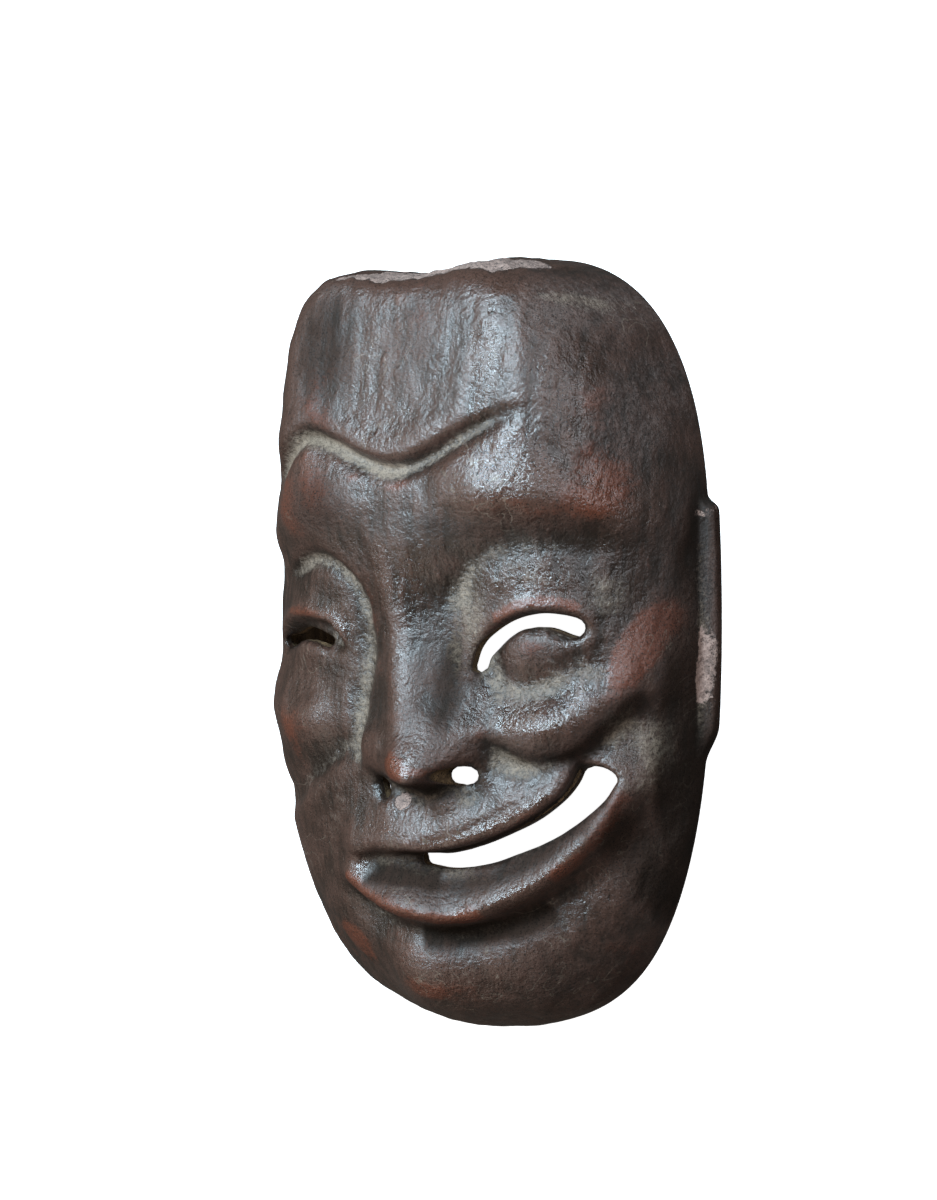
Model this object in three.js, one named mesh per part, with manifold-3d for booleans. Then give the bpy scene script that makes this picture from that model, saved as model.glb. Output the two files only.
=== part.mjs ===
// A carved and lacquered wooden nuo theatre mask with a lopsided grin, lying on its back rim.
// Millimetres. Z points out of the face, Y to the top of the forehead, X to the wearer's left.
// One piece of wood: a hollow shell, open at the back, with eye, nostril and mouth openings.
import * as THREE from 'three';
import * as BufferGeometryUtils from 'three/addons/utils/BufferGeometryUtils.js';
import Module from 'manifold-3d';

// Overall sizes
const HALF_WIDTH = 78.6;        // half the rim's width, without the ears
const HALF_HEIGHT = 131;        // half the rim's height
const CORNER = 2.75;            // exponent of the rim's outline, 2 is an ellipse
const WALL = 9;                 // thickness of the wood at the rim
const CROWN_WALL = 10;          // thickness of the wood at the front
const MIDDLE_Y = 1.27;          // how far the whole is moved so that its outline is centred on the origin
const SIDE_FALL = 0.1;          // share by which the front falls towards the sides
const TOP_DIP = 6.7;            // how much lower the top edge stands on one half
const TOP_DIP_X = -17;
const TOP_DIP_WIDTH = 21;

// Height of the front along the middle line, at even steps from the chin to the top
const CROWN = [44, 56, 59, 61, 60.5, 62, 66, 69.5, 67.5, 64, 60];
// Exponent of the section through the centre, at even angles from the chin round by the wearer's left
const BOXY = [8.7, 4.1, 3.3, 2.5, 2.9, 3.9, 3.6, 3.3, 3.8, 7.5, 22, 32,
  23, 60, 80, 8.5, 4.1, 2.5, 3.5, 3.1, 2.9, 2.2, 3.5, 3];
// How far the rim stands out of its plain outline, as a share, at the same angles
const OUTLINE = [1.003, 0.992, 0.99, 1.006, 1.003, 1.008, 1.003, 0.983, 0.989, 0.996, 0.996, 0.99,
  0.986, 0.992, 1.01, 1.02, 1.01, 1.003, 1.001, 1.003, 1.006, 1.005, 0.998, 0.994];
const THINNING = 4.5;           // how much thinner the wood is round the openings
const THINNING_WIDTH = 9;
const BOXY_INSIDE = 12;         // the hollow has rounder corners than the outside

// Ears: low pads along the rim
const EAR_OUT = 3.9;
const EAR_TOP = 50;
const EAR_BOTTOM = -35;
const EAR_DEPTH = 7.5;
const EAR_SLOPE = 4;
const EAR_TOP_FADE = 3;
const EAR_BOTTOM_FADE = 14;

// Faces of the grid: the outside is twice as fine as the inside
const COLUMNS = 46;
const ROWS = 72;
// Width of the faces at even steps, from the chin to the top and from the wearer's right to left
const ROW_SPACING = [2.6, 1.3, 0.8, 0.8, 0.85, 0.95, 1, 1.1, 1.6, 2.4, 1];
const COLUMN_SPACING = [1.2, 1.25, 1, 1, 0.85, 0.8, 0.8, 0.9, 1.1];

// Ridges and grooves: points, height, width to the left and to the right, fade at the start and the end
const STROKES = {
  foreheadGroove: [[[-64, 48], [-54, 56.5], [-46, 63], [-37, 67.3], [-27, 65.3], [-16, 61], [-6, 58.5],
    [2, 59], [11, 63], [22, 69.8], [33, 75.5], [43, 79], [54, 80]], -4.2, 1.8, 3.8, 0.1, 0.35],
  grooveLip: [[[-64, 54], [-46, 68.5], [-37, 72.5], [-26, 70], [-8, 63.5], [2, 64], [11, 68.5],
    [22, 75.3], [35, 81.5]], 1.8, 7, 3, 0.1, 0.3],
  leftBrow: [[[6, 50], [22, 51], [40, 51], [54, 50], [66, 45], [75, 34]], 3.4, 10, 6.5, 0.3, 0.2],
  rightBrow: [[[-6, 48], [-18, 47], [-32, 45], [-46, 42], [-58, 38], [-72, 30]], 3, 9, 9, 0.3, 0.1],
  leftLidCrease: [[[15, 4], [18, 18], [26, 29], [38, 35.5], [50, 36.5], [60, 34], [68, 27]],
    -2.4, 7, 6, 0.2, 0.3],
  rightLidCrease: [[[-15, 4], [-17.5, 14], [-22, 21], [-30, 26], [-40, 27], [-52, 23], [-64, 16]],
    -3.2, 4.5, 2.2, 0.15, 0.2],
  leftLowerCrease: [[[22, -10], [31, -10.5], [42, -11.5], [53, -8.5], [61, -1], [66, 9]],
    -1.8, 6, 6, 0.2, 0.3],
  leftCheekApple: [[[28, -21], [40, -22], [52, -19.5], [61, -13], [68, -4], [72, 8], [73, 22]],
    5.8, 8, 9, 0.3, 0.35],
  rightCheekApple: [[[-28, -22], [-38, -26], [-50, -27], [-62, -25], [-76, -20]], 3.5, 10, 10, 0.3, 0.1],
  leftCheekFold: [[[25, -24], [32, -31], [42, -35], [53, -34], [62, -29], [69, -20], [75, -8]],
    -5.4, 4, 6.5, 0.2, 0.2],
  rightCheekFold: [[[-21, -28], [-28, -34.5], [-37, -41], [-47, -47], [-58, -55], [-74, -60]],
    -3.6, 4, 9, 0.25, 0.1],
  smileLine: [[[73, -12], [74, -30], [72, -48], [66, -64], [54, -80]], 2.6, 6, 6, 0.3, 0.3],
  noseSide: [[[-16, 10], [-14.5, -3], [-17, -18], [-19, -31], [-18, -42]], -2.4, 2.6, 5, 0.15, 0.2],
};

// Bumps and hollows: centre, half sizes, height, turn in degrees, exponent of the fall
const LUMPS = {
  leftSocket: [39, 7, 28, 25, -9, 5, 2.6],
  leftEyeball: [44, 10.5, 20.5, 17.5, 8.2, 5, 2.5],
  rightSocket: [-40, 4, 27, 24, -7.5, -5, 2.8],
  rightEyeball: [-43, 5, 21, 17, 6.8, -5, 2.5],
  bridge: [0, 10, 13, 14, -2, 0, 2],
  chin: [10, -112, 36, 13, 5, 0, 2.2],
  rightCheek: [-44, -66, 22, 18, -1.5, 0, 2],
  glabella: [0, 38, 14, 12, 1.2, 0, 2],
};

// Edges of the upper lids: points, the step down to the eyeball and the height of the rim above it
const LEFT_LID = [[[22, -12], [25.5, -2], [30, 6.5], [36.5, 12], [45, 15.2], [54, 14.8], [62, 10]], 5, 1.4];
const RIGHT_LID = [[[-66, -6], [-58, 3.5], [-49, 7], [-40, 7.6], [-31.5, 5.5], [-24, -3]], 4.5, 1.4];
const LID_FADE = 0.15;               // share of the lid's length over which each end dies out
const LID_STEP = [1, -2];            // distances from the edge between which the step goes down
const LID_LEDGE = 7;                 // width over which the step is lost again on the eyeball
const LID_RIM = 1.5;                 // distance from the edge to the crest of the rim
const LID_RIM_WIDTH = 3.2;

// Nose: its ridge leans to the wearer's left
const NOSE_TOP = [-5.5, 26];
const NOSE_TIP = [8.5, -37.5];
const NOSE_RISE = [3.5, 6, 6.5];     // height at the root, and how it grows with the length and its cube
const NOSE_LEFT = [7.8, 7.2];        // half width at the root and its growth, on the wearer's left
const NOSE_RIGHT = [6.5, 5.5];
const NOSE_ROUNDNESS = 2.1;          // exponent of the fall from the ridge
const NOSE_ROOT = [-0.3, 0.25];      // shares of its length over which the ridge comes up at the root
const NOSE_OVERHANG = 1.15;          // share of its length past which the ridge grows no more
const NOSTRIL_WINGS = [[22.5, -25.5, 9.5, 8.5, 3.6, 0, 2.6], [-8.5, -31.5, 7, 8.5, 4.6, 0, 2.6]];
const NOSE_BALL = [8.5, -35, 8, 6.5, 2.6, 0, 2.6];
const SEPTUM = [14, -44.5, 7, 5.5, 6, 0, 2.6];
const NOSE_UNDERCUT = [8, -44.5, 17, 5, 4.8, 0, 2.5];
const NOSE_BASE = -40.3;
const NOSE_BASE_LEFT = 8.5;          // how much higher the base ends on the wearer's left
const NOSE_BASE_RIGHT = 1.5;
const NOSE_BASE_SLOPE = [8, 25];     // where the base climbs on that side
const NOSE_BASE_TURN = [2, -8];      // and on the wearer's right
const NOSE_BASE_EDGE = [-6.5, 0.8];  // distances from the base between which the nose reaches its height

// Mouth: the line where the lips part, and the crest of the lower lip
const MOUTH_LINE = [[-26, -76], [-14, -70.5], [-2, -68.5], [10, -67.5], [24, -64], [38, -58], [50, -49.5],
  [57.5, -40], [60.5, -32]];
const LOWER_LIP = [[-28, -70], [-22, -75.8], [-11.5, -81.2], [4, -84], [18.5, -83.8], [30.5, -78.9],
  [42.2, -71.7], [52.3, -62.7], [60, -52.8], [65, -43], [67, -35], [64, -26]];
const MOUTH_DEPTH = 9.5;
const MOUTH_FADES = [0.5, 0.1];      // shares of the mouth's length over which its ends die out
const UPPER_LIP_RISE = 4;
const UPPER_LIP_FROM = [1, 6];       // distances over the line between which the upper lip comes up
const UPPER_LIP_WIDTH = 8;
const UPPER_LIP_FADE = 0.12;
const UPPER_LIP_EDGE = 4;            // how far over the line the cut under the upper lip still shows
const LOWER_LIP_RISE = 4.6;
const LIP_FLOOR = 0.15;              // share of the way from the slit to the crest where the lip starts
const LIP_INNER = 5.6;               // widths of the roll on the mouth's and on the chin's side
const LIP_OUTER = 4.8;
const LOWER_LIP_FADES = [0.1, 0.2];
const CHIN_GROOVE = 5.4;
const GROOVE_BELOW = 10.2;           // distance from the crest of the lip to the groove
const GROOVE_WIDTH = 6;
const GROOVE_FADES = [0.25, 0.3];

// Openings: middle line and its half widths at even steps along it
const LEFT_EYE = [[[24.2, -4.2], [25.9, 0.2], [29.5, 3.9], [34.6, 7.7], [40.4, 10.8], [47, 12], [51.6, 11.4],
  [54.9, 10.5]], 1.4, 3.1, 1.8, 2.4, 3.8];
const RIGHT_EYE = [[[-62, -3], [-55, 0], [-48, 1.3], [-41.5, 1], [-36, -0.4]], 1.6, 2.8, 1.6];
const MOUTH_OPENING = [[[6, -68.9], [15, -69.8], [25.7, -66.9], [35.8, -62.4], [45.9, -56.7], [53.9, -49.8],
  [59.3, -43], [62.5, -36.9]], 2.1, 3.1, 3.3, 2.9, 2.9];
const LEFT_NOSTRIL = [[[17.2, -38.8], [20, -38.6], [22.8, -38.3]], 2.6, 4.2, 2.8];
const RIGHT_NOSTRIL = [[[-9, -43.2], [-8.4, -45.4], [-7.4, -47.6]], 1.2, 1.7, 1.2];

const CURVE_STEPS = 6;
const NORMAL_STEP = 0.4;
const ROUNDING = 2.2;           // radius over which the carving's sharp edges are rounded
const ROUNDING_POINTS = 8;
const SIDE_SHARE = 0.45;        // share of the carving's height that is left on an upright side
const CARVED_FROM = [2, 14];    // heights over the rim between which the carving sets in, outside
const HOLLOW_FROM = [2, 20];    // and in the hollow
const FOLLOW_DEEP = 0.85;       // share of the deep carving that the hollow follows
const FOLLOW_HIGH = 0.4;        // share of the high carving
const CUT_HEIGHT = 110;         // height of the tools that cut the openings
const FROM_CHIN = 0.25;         // share of a turn from the chin, where the tables start, to the side
const ON_RIM = 1 - 1e-9;        // grid place from which a point lies on the rim
const WELD = 1e-4;              // distance under which two points are one

const LOG_BOXY = BOXY.map(Math.log);
const LOG_INSIDE = Math.log(BOXY_INSIDE);

const clamp = (value, low, high) => Math.min(Math.max(value, low), high);

function smooth(from, to, value) {
  const t = clamp((value - from) / (to - from), 0, 1);
  return t * t * (3 - 2 * t);
}

// Value of a smooth line near four values in a row, at a share of the way from the second to the third
function blend(a, b, c, d, f) {
  return ((1 - f) ** 3 * a + (3 * f ** 3 - 6 * f ** 2 + 4) * b
    + (-3 * f ** 3 + 3 * f ** 2 + 3 * f + 1) * c + f ** 3 * d) / 6;
}

// Value of a smooth line along an evenly spaced table, at a share of its length
function spline(share, table) {
  const last = table.length - 1;
  const s = clamp(share, 0, 1) * last;
  const i = Math.min(Math.floor(s), last - 1);
  const before = table[i > 0 ? i - 1 : 1];
  const after = table[i < last - 1 ? i + 2 : last - 1];
  return blend(before, table[i], table[i + 1], after, s - i);
}

// The same round a closed ring
function ringSpline(share, table) {
  const s = (share - Math.floor(share)) * table.length;
  const i = Math.floor(s);
  const [a, b, c, d] = [-1, 0, 1, 2].map((k) => table[(i + k + table.length) % table.length]);
  return blend(a, b, c, d, s - i);
}

// Smooth line through points in the plane
function curve(points) {
  const places = points.map(([x, y]) => new THREE.Vector3(x, y, 0));
  const path = new THREE.CatmullRomCurve3(places, false, 'catmullrom');
  return path.getPoints(CURVE_STEPS * (points.length - 1));
}

// Distance to a line, positive on its left, and the share of its length at the nearest place
function nearest(x, y, line) {
  let best = { distance: Infinity, side: 0, share: 0 };
  for (let i = 0; i < line.length - 1; i += 1) {
    const { x: ax, y: ay } = line[i];
    const ex = line[i + 1].x - ax;
    const ey = line[i + 1].y - ay;
    const w = clamp(((x - ax) * ex + (y - ay) * ey) / (ex * ex + ey * ey), 0, 1);
    const dx = x - ax - w * ex;
    const dy = y - ay - w * ey;
    const distance = Math.hypot(dx, dy);
    if (distance < best.distance) {
      best = { distance, side: ex * dy - ey * dx, share: (i + w) / (line.length - 1) };
    }
  }
  return { signed: best.side < 0 ? -best.distance : best.distance, share: best.share };
}

const bell = (value) => Math.exp(-value * value);

function fade(share, start, end) {
  return (start ? smooth(0, start, share) : 1) * (end ? smooth(0, end, 1 - share) : 1);
}

function stroke(x, y, [line, height, left, right, start, end]) {
  const { signed, share } = nearest(x, y, line);
  return height * bell(signed / (signed > 0 ? left : right)) * fade(share, start, end);
}

function lump(x, y, [cx, cy, rx, ry, height, turn, power]) {
  const angle = THREE.MathUtils.degToRad(turn);
  const u = ((x - cx) * Math.cos(angle) + (y - cy) * Math.sin(angle)) / rx;
  const v = (-(x - cx) * Math.sin(angle) + (y - cy) * Math.cos(angle)) / ry;
  return height * Math.exp(-((u * u + v * v) ** (power / 2)));
}

function lid(x, y, [line, step, rise]) {
  const { signed, share } = nearest(x, y, line);
  const ledge = smooth(...LID_STEP, signed) * bell(Math.min(signed - LID_STEP[1], 0) / LID_LEDGE);
  const rim = bell((signed - LID_RIM) / LID_RIM_WIDTH);
  return fade(share, LID_FADE, LID_FADE) * (rise * rim - step * ledge);
}

function nose(x, y) {
  const [tx, ty] = NOSE_TOP;
  const dx = NOSE_TIP[0] - tx;
  const dy = NOSE_TIP[1] - ty;
  const length = Math.hypot(dx, dy);
  const along = ((x - tx) * dx + (y - ty) * dy) / length ** 2;
  const across = (-(x - tx) * dy + (y - ty) * dx) / length;
  const t = clamp(along, 0, NOSE_OVERHANG);
  const [width, growth] = across > 0 ? NOSE_LEFT : NOSE_RIGHT;
  const rise = NOSE_RISE[0] + NOSE_RISE[1] * t + NOSE_RISE[2] * t ** 3;
  const fall = (Math.abs(across) / (width + growth * t)) ** NOSE_ROUNDNESS;
  let height = rise * Math.exp(-fall) * smooth(...NOSE_ROOT, along);
  for (const bump of [...NOSTRIL_WINGS, NOSE_BALL]) {
    height += lump(x, y, bump);
  }
  const base = NOSE_BASE + NOSE_BASE_LEFT * smooth(...NOSE_BASE_SLOPE, x)
    + NOSE_BASE_RIGHT * smooth(...NOSE_BASE_TURN, x);
  const above = smooth(...NOSE_BASE_EDGE, y - base);
  return height * above - lump(x, y, NOSE_UNDERCUT) + lump(x, y, SEPTUM);
}

function mouth(x, y, line, crest) {
  const part = nearest(x, y, line);
  const lip = nearest(x, y, crest);
  const depth = MOUTH_DEPTH * fade(part.share, ...MOUTH_FADES);
  const over = Math.max(part.signed - UPPER_LIP_FROM[1], 0);
  const upper = UPPER_LIP_RISE * bell(over / UPPER_LIP_WIDTH) * smooth(...UPPER_LIP_FROM, part.signed)
    * fade(part.share, UPPER_LIP_FADE, UPPER_LIP_FADE);
  const apart = Math.abs(part.signed);
  const between = part.signed < 0 && lip.signed > 0;
  const ledge = between ? 1 - smooth(LIP_FLOOR, 1, apart / (apart + Math.abs(lip.signed))) : 0;
  const underLip = part.signed >= 0 ? smooth(UPPER_LIP_EDGE, 0, part.signed) : 0;
  const width = lip.signed > 0 ? LIP_INNER : LIP_OUTER;
  const lower = LOWER_LIP_RISE * bell(lip.signed / width) * fade(lip.share, ...LOWER_LIP_FADES);
  const below = bell((-lip.signed - GROOVE_BELOW) / GROOVE_WIDTH) * fade(lip.share, ...GROOVE_FADES);
  const groove = lip.signed < 0 ? CHIN_GROOVE * below : 0;
  return upper - depth * Math.max(ledge, underLip) + lower - groove;
}

const withLine = ([points, ...rest]) => [curve(points), ...rest];
const strokes = Object.values(STROKES).map(withLine);
const lumps = Object.values(LUMPS);
const lids = [LEFT_LID, RIGHT_LID].map(withLine);
const mouthLine = curve(MOUTH_LINE);
const lowerLip = curve(LOWER_LIP);
const openings = [LEFT_EYE, RIGHT_EYE, MOUTH_OPENING, LEFT_NOSTRIL, RIGHT_NOSTRIL].map(withLine);

// Height of all carving over the plain front
function carving(x, y) {
  let height = nose(x, y) + mouth(x, y, mouthLine, lowerLip);
  for (const edge of lids) {
    height += lid(x, y, edge);
  }
  for (const one of strokes) {
    height += stroke(x, y, one);
  }
  for (const one of lumps) {
    height += lump(x, y, one);
  }
  return height;
}

// The same with its sharp edges rounded
function roundedCarving(x, y) {
  let sum = carving(x, y);
  for (let i = 0; i < ROUNDING_POINTS; i += 1) {
    const angle = 2 * Math.PI * i / ROUNDING_POINTS;
    sum += carving(x + ROUNDING * Math.cos(angle), y + ROUNDING * Math.sin(angle));
  }
  return sum / (ROUNDING_POINTS + 1);
}

const topDip = (x, y) => (y > 0 ? TOP_DIP * bell((x - TOP_DIP_X) / TOP_DIP_WIDTH) * (y / HALF_HEIGHT) : 0);

// The way to the rim in a direction, against the plain outline's
const reachShare = (turn) => ringSpline(turn, OUTLINE);

// Distance from the middle as a share of the way to the rim, and the direction as a share of a turn
function spread(x, y, inset) {
  const v = y + topDip(x, y);
  const turn = Math.atan2(v / HALF_HEIGHT, x / HALF_WIDTH) / (2 * Math.PI) + FROM_CHIN;
  const sum = Math.abs(x / (HALF_WIDTH - inset)) ** CORNER + Math.abs(v / (HALF_HEIGHT - inset)) ** CORNER;
  return { share: Math.min(sum ** (1 / CORNER) / reachShare(turn), 1), turn };
}

// Height of the plain front, without carving
function dome(x, y, inset = 0) {
  const { share, turn } = spread(x, y, inset);
  const power = Math.exp(Math.min(ringSpline(turn, LOG_BOXY), inset ? LOG_INSIDE : Infinity));
  const crown = spline((y / HALF_HEIGHT + 1) / 2, CROWN) - (inset ? CROWN_WALL : 0);
  const fall = 1 - SIDE_FALL * (x / HALF_WIDTH) ** 2;
  return crown * fall * Math.sqrt(Math.max(1 - share ** power, 0));
}

// How far the ear stands out of the side at a height over the rim
function ear(y, z) {
  const along = smooth(EAR_TOP + EAR_TOP_FADE, EAR_TOP - EAR_TOP_FADE, y)
    * smooth(EAR_BOTTOM, EAR_BOTTOM + EAR_BOTTOM_FADE, y);
  return EAR_OUT * along * smooth(EAR_DEPTH, EAR_DEPTH - EAR_SLOPE, z);
}

// Point of the outside: the front moved along its normal by the carving and the ears
function outside(x, y, onRim) {
  const z = onRim ? 0 : dome(x, y);
  const normal = new THREE.Vector3(
    dome(x - NORMAL_STEP, y) - dome(x + NORMAL_STEP, y),
    dome(x, y - NORMAL_STEP) - dome(x, y + NORMAL_STEP),
    2 * NORMAL_STEP,
  ).normalize();
  const share = SIDE_SHARE + (1 - SIDE_SHARE) * normal.z;
  const height = roundedCarving(x, y) * share * smooth(...CARVED_FROM, z) + ear(y, z);
  const point = new THREE.Vector3(x, y + MIDDLE_Y, z).addScaledVector(normal, height);
  return onRim ? point.setZ(0) : point;
}

// How much nearer the hollow comes to the front round an opening
function thinning(x, y) {
  return THINNING * Math.max(...openings.map(([line]) => bell(nearest(x, y, line).signed / THINNING_WIDTH)));
}

// Point of the hollow: it follows the deep carving closely and the high carving loosely
function inside(x, y, onRim) {
  const sx = x * (1 - WALL / HALF_WIDTH);
  const sy = y * (1 - WALL / HALF_HEIGHT);
  const height = roundedCarving(sx, sy);
  const z = onRim ? 0 : Math.max(dome(sx, sy, WALL), 0);
  const carved = (height < 0 ? FOLLOW_DEEP : FOLLOW_HIGH) * height;
  const follow = (carved + thinning(sx, sy)) * smooth(...HOLLOW_FROM, z);
  return new THREE.Vector3(sx, sy + MIDDLE_Y, z + follow);
}

// Place on the plain front for two numbers from -1 to 1: a square spread over the rim's outline
function place(u, v) {
  const px = u * Math.sqrt(1 - v * v / 2);
  const py = v * Math.sqrt(1 - u * u / 2);
  const angle = Math.atan2(py, px);
  const out = Math.sin(Math.min(Math.hypot(px, py), 1) * Math.PI / 2);
  const cx = Math.cos(angle);
  const cy = Math.sin(angle);
  const plain = (Math.abs(cx) ** CORNER + Math.abs(cy) ** CORNER) ** (-1 / CORNER);
  const reach = out * plain * reachShare(angle / (2 * Math.PI) + FROM_CHIN);
  const x = HALF_WIDTH * reach * cx;
  const y = HALF_HEIGHT * reach * cy;
  return [x, y - topDip(x, y)];
}

// Numbers from -1 to 1 whose gaps follow a table of widths
function steps(count, spacing) {
  const sums = [0];
  for (let i = 0; i < count; i += 1) {
    sums.push(sums[i] + spline((i + 0.5) / count, spacing));
  }
  return sums.map((sum) => 2 * sum / sums[count] - 1);
}

// Grid of points over the whole front, with every point of the steps or every second one
function grid(every, surface) {
  const us = steps(COLUMNS, COLUMN_SPACING).filter((_, i) => i % every === 0);
  const vs = steps(ROWS, ROW_SPACING).filter((_, i) => i % every === 0);
  const onRim = (u, v) => Math.max(Math.abs(u), Math.abs(v)) > ON_RIM;
  return vs.flatMap((v) => us.map((u) => surface(...place(u, v), onRim(u, v))));
}

// Triangles of a grid, facing up or down
function gridFaces(columns, rows, start, up) {
  const faces = [];
  for (let j = 0; j < rows; j += 1) {
    for (let i = 0; i < columns; i += 1) {
      const a = start + j * (columns + 1) + i;
      const [b, c, d] = [a + 1, a + columns + 2, a + columns + 1];
      faces.push(...(up ? [a, b, c, a, c, d] : [a, c, b, a, d, c]));
    }
  }
  return faces;
}

// Indices round the edge of a grid, anticlockwise
function edgeLoop(columns, rows, start) {
  const at = (i, j) => start + j * (columns + 1) + i;
  const across = [...Array(columns).keys()];
  const upwards = [...Array(rows).keys()];
  return [
    ...across.map((i) => at(i, 0)),
    ...upwards.map((j) => at(columns, j)),
    ...across.map((i) => at(columns - i, rows)),
    ...upwards.map((j) => at(0, rows - j)),
  ];
}

// The closed shell: outside, hollow and the flat rim between them
function shell() {
  const outer = grid(1, outside);
  const inner = grid(2, inside);
  const faces = [
    ...gridFaces(COLUMNS, ROWS, 0, true),
    ...gridFaces(COLUMNS / 2, ROWS / 2, outer.length, false),
  ];
  const outerLoop = edgeLoop(COLUMNS, ROWS, 0);
  const innerLoop = edgeLoop(COLUMNS / 2, ROWS / 2, outer.length);
  innerLoop.forEach((a, i) => {
    const b = innerLoop[(i + 1) % innerLoop.length];
    const [c, d, e] = [0, 1, 2].map((k) => outerLoop[(2 * i + k) % outerLoop.length]);
    faces.push(a, d, c, a, b, d, b, e, d);
  });
  const geometry = new THREE.BufferGeometry();
  const flat = [...outer, ...inner].flatMap((p) => [p.x, p.y, p.z]);
  geometry.setAttribute('position', new THREE.Float32BufferAttribute(flat, 3));
  geometry.setIndex(faces);
  return geometry;
}

// A tool that cuts straight through the front: a band of changing width round a line, with round ends
function cutter([line, ...widths]) {
  const count = line.length - 1;
  const width = (share) => spline(share, widths);
  const left = [];
  const right = [];
  line.forEach((point, i) => {
    const before = line[Math.max(i - 1, 0)];
    const after = line[Math.min(i + 1, count)];
    const along = after.clone().sub(before).normalize();
    const side = new THREE.Vector3(-along.y, along.x, 0).multiplyScalar(width(i / count));
    left.push(point.clone().add(side));
    right.push(point.clone().sub(side));
  });
  const cap = (from, to) => {
    const middle = from.clone().add(to).multiplyScalar(0.5);
    const arm = from.clone().sub(middle);
    const upright = new THREE.Vector3(0, 0, 1);
    return [1, 2, 3].map((k) => arm.clone().applyAxisAngle(upright, -k * Math.PI / 4).add(middle));
  };
  const thin = (list) => list.filter((_, i) => i % 2 === 0 || i === list.length - 1);
  const startCap = cap(right[0], left[0]);
  const endCap = cap(left.at(-1), right.at(-1));
  const outline = [...thin(left), ...endCap, ...thin(right).reverse(), ...startCap];
  const moved = outline.map((p) => outside(p.x, p.y, false));
  const shape = new THREE.Shape(moved.map((p) => new THREE.Vector2(p.x, p.y)));
  return new THREE.ExtrudeGeometry(shape, { depth: CUT_HEIGHT, bevelEnabled: false });
}

const wasm = await Module();
wasm.setup();

// A closed solid from a geometry
function solid(geometry) {
  const bare = geometry.clone();
  bare.deleteAttribute('normal');
  bare.deleteAttribute('uv');
  const merged = BufferGeometryUtils.mergeVertices(bare, WELD);
  return new wasm.Manifold(new wasm.Mesh({
    numProp: 3,
    vertProperties: new Float32Array(merged.attributes.position.array),
    triVerts: new Uint32Array(merged.index.array),
  }));
}

// A geometry from a closed solid
function toGeometry(body) {
  const mesh = body.getMesh();
  const geometry = new THREE.BufferGeometry();
  geometry.setAttribute('position', new THREE.BufferAttribute(mesh.vertProperties, 3));
  geometry.setIndex(new THREE.BufferAttribute(mesh.triVerts, 1));
  geometry.computeVertexNormals();
  return geometry;
}

let body = solid(shell());
for (const opening of openings) {
  body = body.subtract(solid(cutter(opening)));
}

const lacqueredWood = new THREE.MeshStandardMaterial({ color: 0x34201c, roughness: 0.42, metalness: 0 });
const mask = new THREE.Mesh(toGeometry(body), lacqueredWood);
mask.name = 'mask';

const part = new THREE.Group();
part.name = 'nuo_mask';
part.add(mask);

export default part;
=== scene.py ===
import math

import bpy
import numpy as np
from bpy.props import FloatProperty, FloatVectorProperty, PointerProperty
from mathutils import Matrix, Vector


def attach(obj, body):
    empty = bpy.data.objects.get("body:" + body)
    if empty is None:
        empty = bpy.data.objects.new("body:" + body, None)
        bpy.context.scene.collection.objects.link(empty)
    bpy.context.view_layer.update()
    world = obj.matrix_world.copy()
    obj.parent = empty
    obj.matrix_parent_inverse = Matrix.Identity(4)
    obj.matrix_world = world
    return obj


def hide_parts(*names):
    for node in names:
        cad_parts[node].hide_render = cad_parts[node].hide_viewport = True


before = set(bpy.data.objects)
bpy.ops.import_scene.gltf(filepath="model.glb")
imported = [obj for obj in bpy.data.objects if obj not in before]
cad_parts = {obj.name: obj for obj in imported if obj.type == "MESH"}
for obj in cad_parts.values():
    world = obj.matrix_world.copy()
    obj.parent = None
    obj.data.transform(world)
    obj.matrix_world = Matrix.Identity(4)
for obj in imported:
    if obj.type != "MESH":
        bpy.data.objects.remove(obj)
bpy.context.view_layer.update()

bl_info = {
    "name": "Carved Nuo Mask",
    "version": (1, 0, 0),
    "blender": (4, 5, 0),
    "location": "View3D > Sidebar > Mask",
    "description": "A carved and lacquered theatre mask with a lopsided grin, lying on its back rim",
    "category": "Add Mesh",
}

MM = 0.001
TINY = 1e-6  # keeps a division off zero

# Large form, in millimetres: X to the wearer's left, Y to the forehead, Z out of the face
CORNER = 2.75  # exponent of the rim's outline, 2 is an ellipse
SIDE_FALL = 0.10  # share by which the front falls towards the sides
MIDDLE_Y = 1.27  # moves the whole so that its outline is centred on the origin
TOP_DIP, TOP_DIP_X, TOP_DIP_WIDTH = 6.7, -17, 21
FROM_CHIN = 0.25  # share of a turn from the chin, where the rings of values start, to the side
# Height of the front along the middle line, at even steps from the chin to the top
CROWN = [44, 56, 59, 61, 60.5, 62, 66, 69.5, 67.5, 64, 60]
# Exponent of the section through the centre, at even angles from the chin round by the wearer's left
BOXY = [8.7, 4.1, 3.3, 2.5, 2.9, 3.9, 3.6, 3.3, 3.8, 7.5, 22, 32,
        23, 60, 80, 8.5, 4.1, 2.5, 3.5, 3.1, 2.9, 2.2, 3.5, 3]
BOXY_INSIDE = 12
# How far the rim stands out of its plain outline, as a share, at the same angles
OUTLINE = [1.003, 0.992, 0.99, 1.006, 1.003, 1.008, 1.003, 0.983, 0.989, 0.996, 0.996, 0.99,
           0.986, 0.992, 1.01, 1.02, 1.01, 1.003, 1.001, 1.003, 1.006, 1.005, 0.998, 0.994]
EAR_OUT, EAR_TOP, EAR_BOTTOM, EAR_DEPTH, EAR_SLOPE = 3.9, 50, -35, 7.5, 4
EAR_TOP_FADE, EAR_BOTTOM_FADE = 3, 14
SIDE_SHARE = 0.45  # share of the carving's height that is left on an upright side
CARVED_FROM = (2, 14)  # heights over the rim between which the carving sets in

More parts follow.
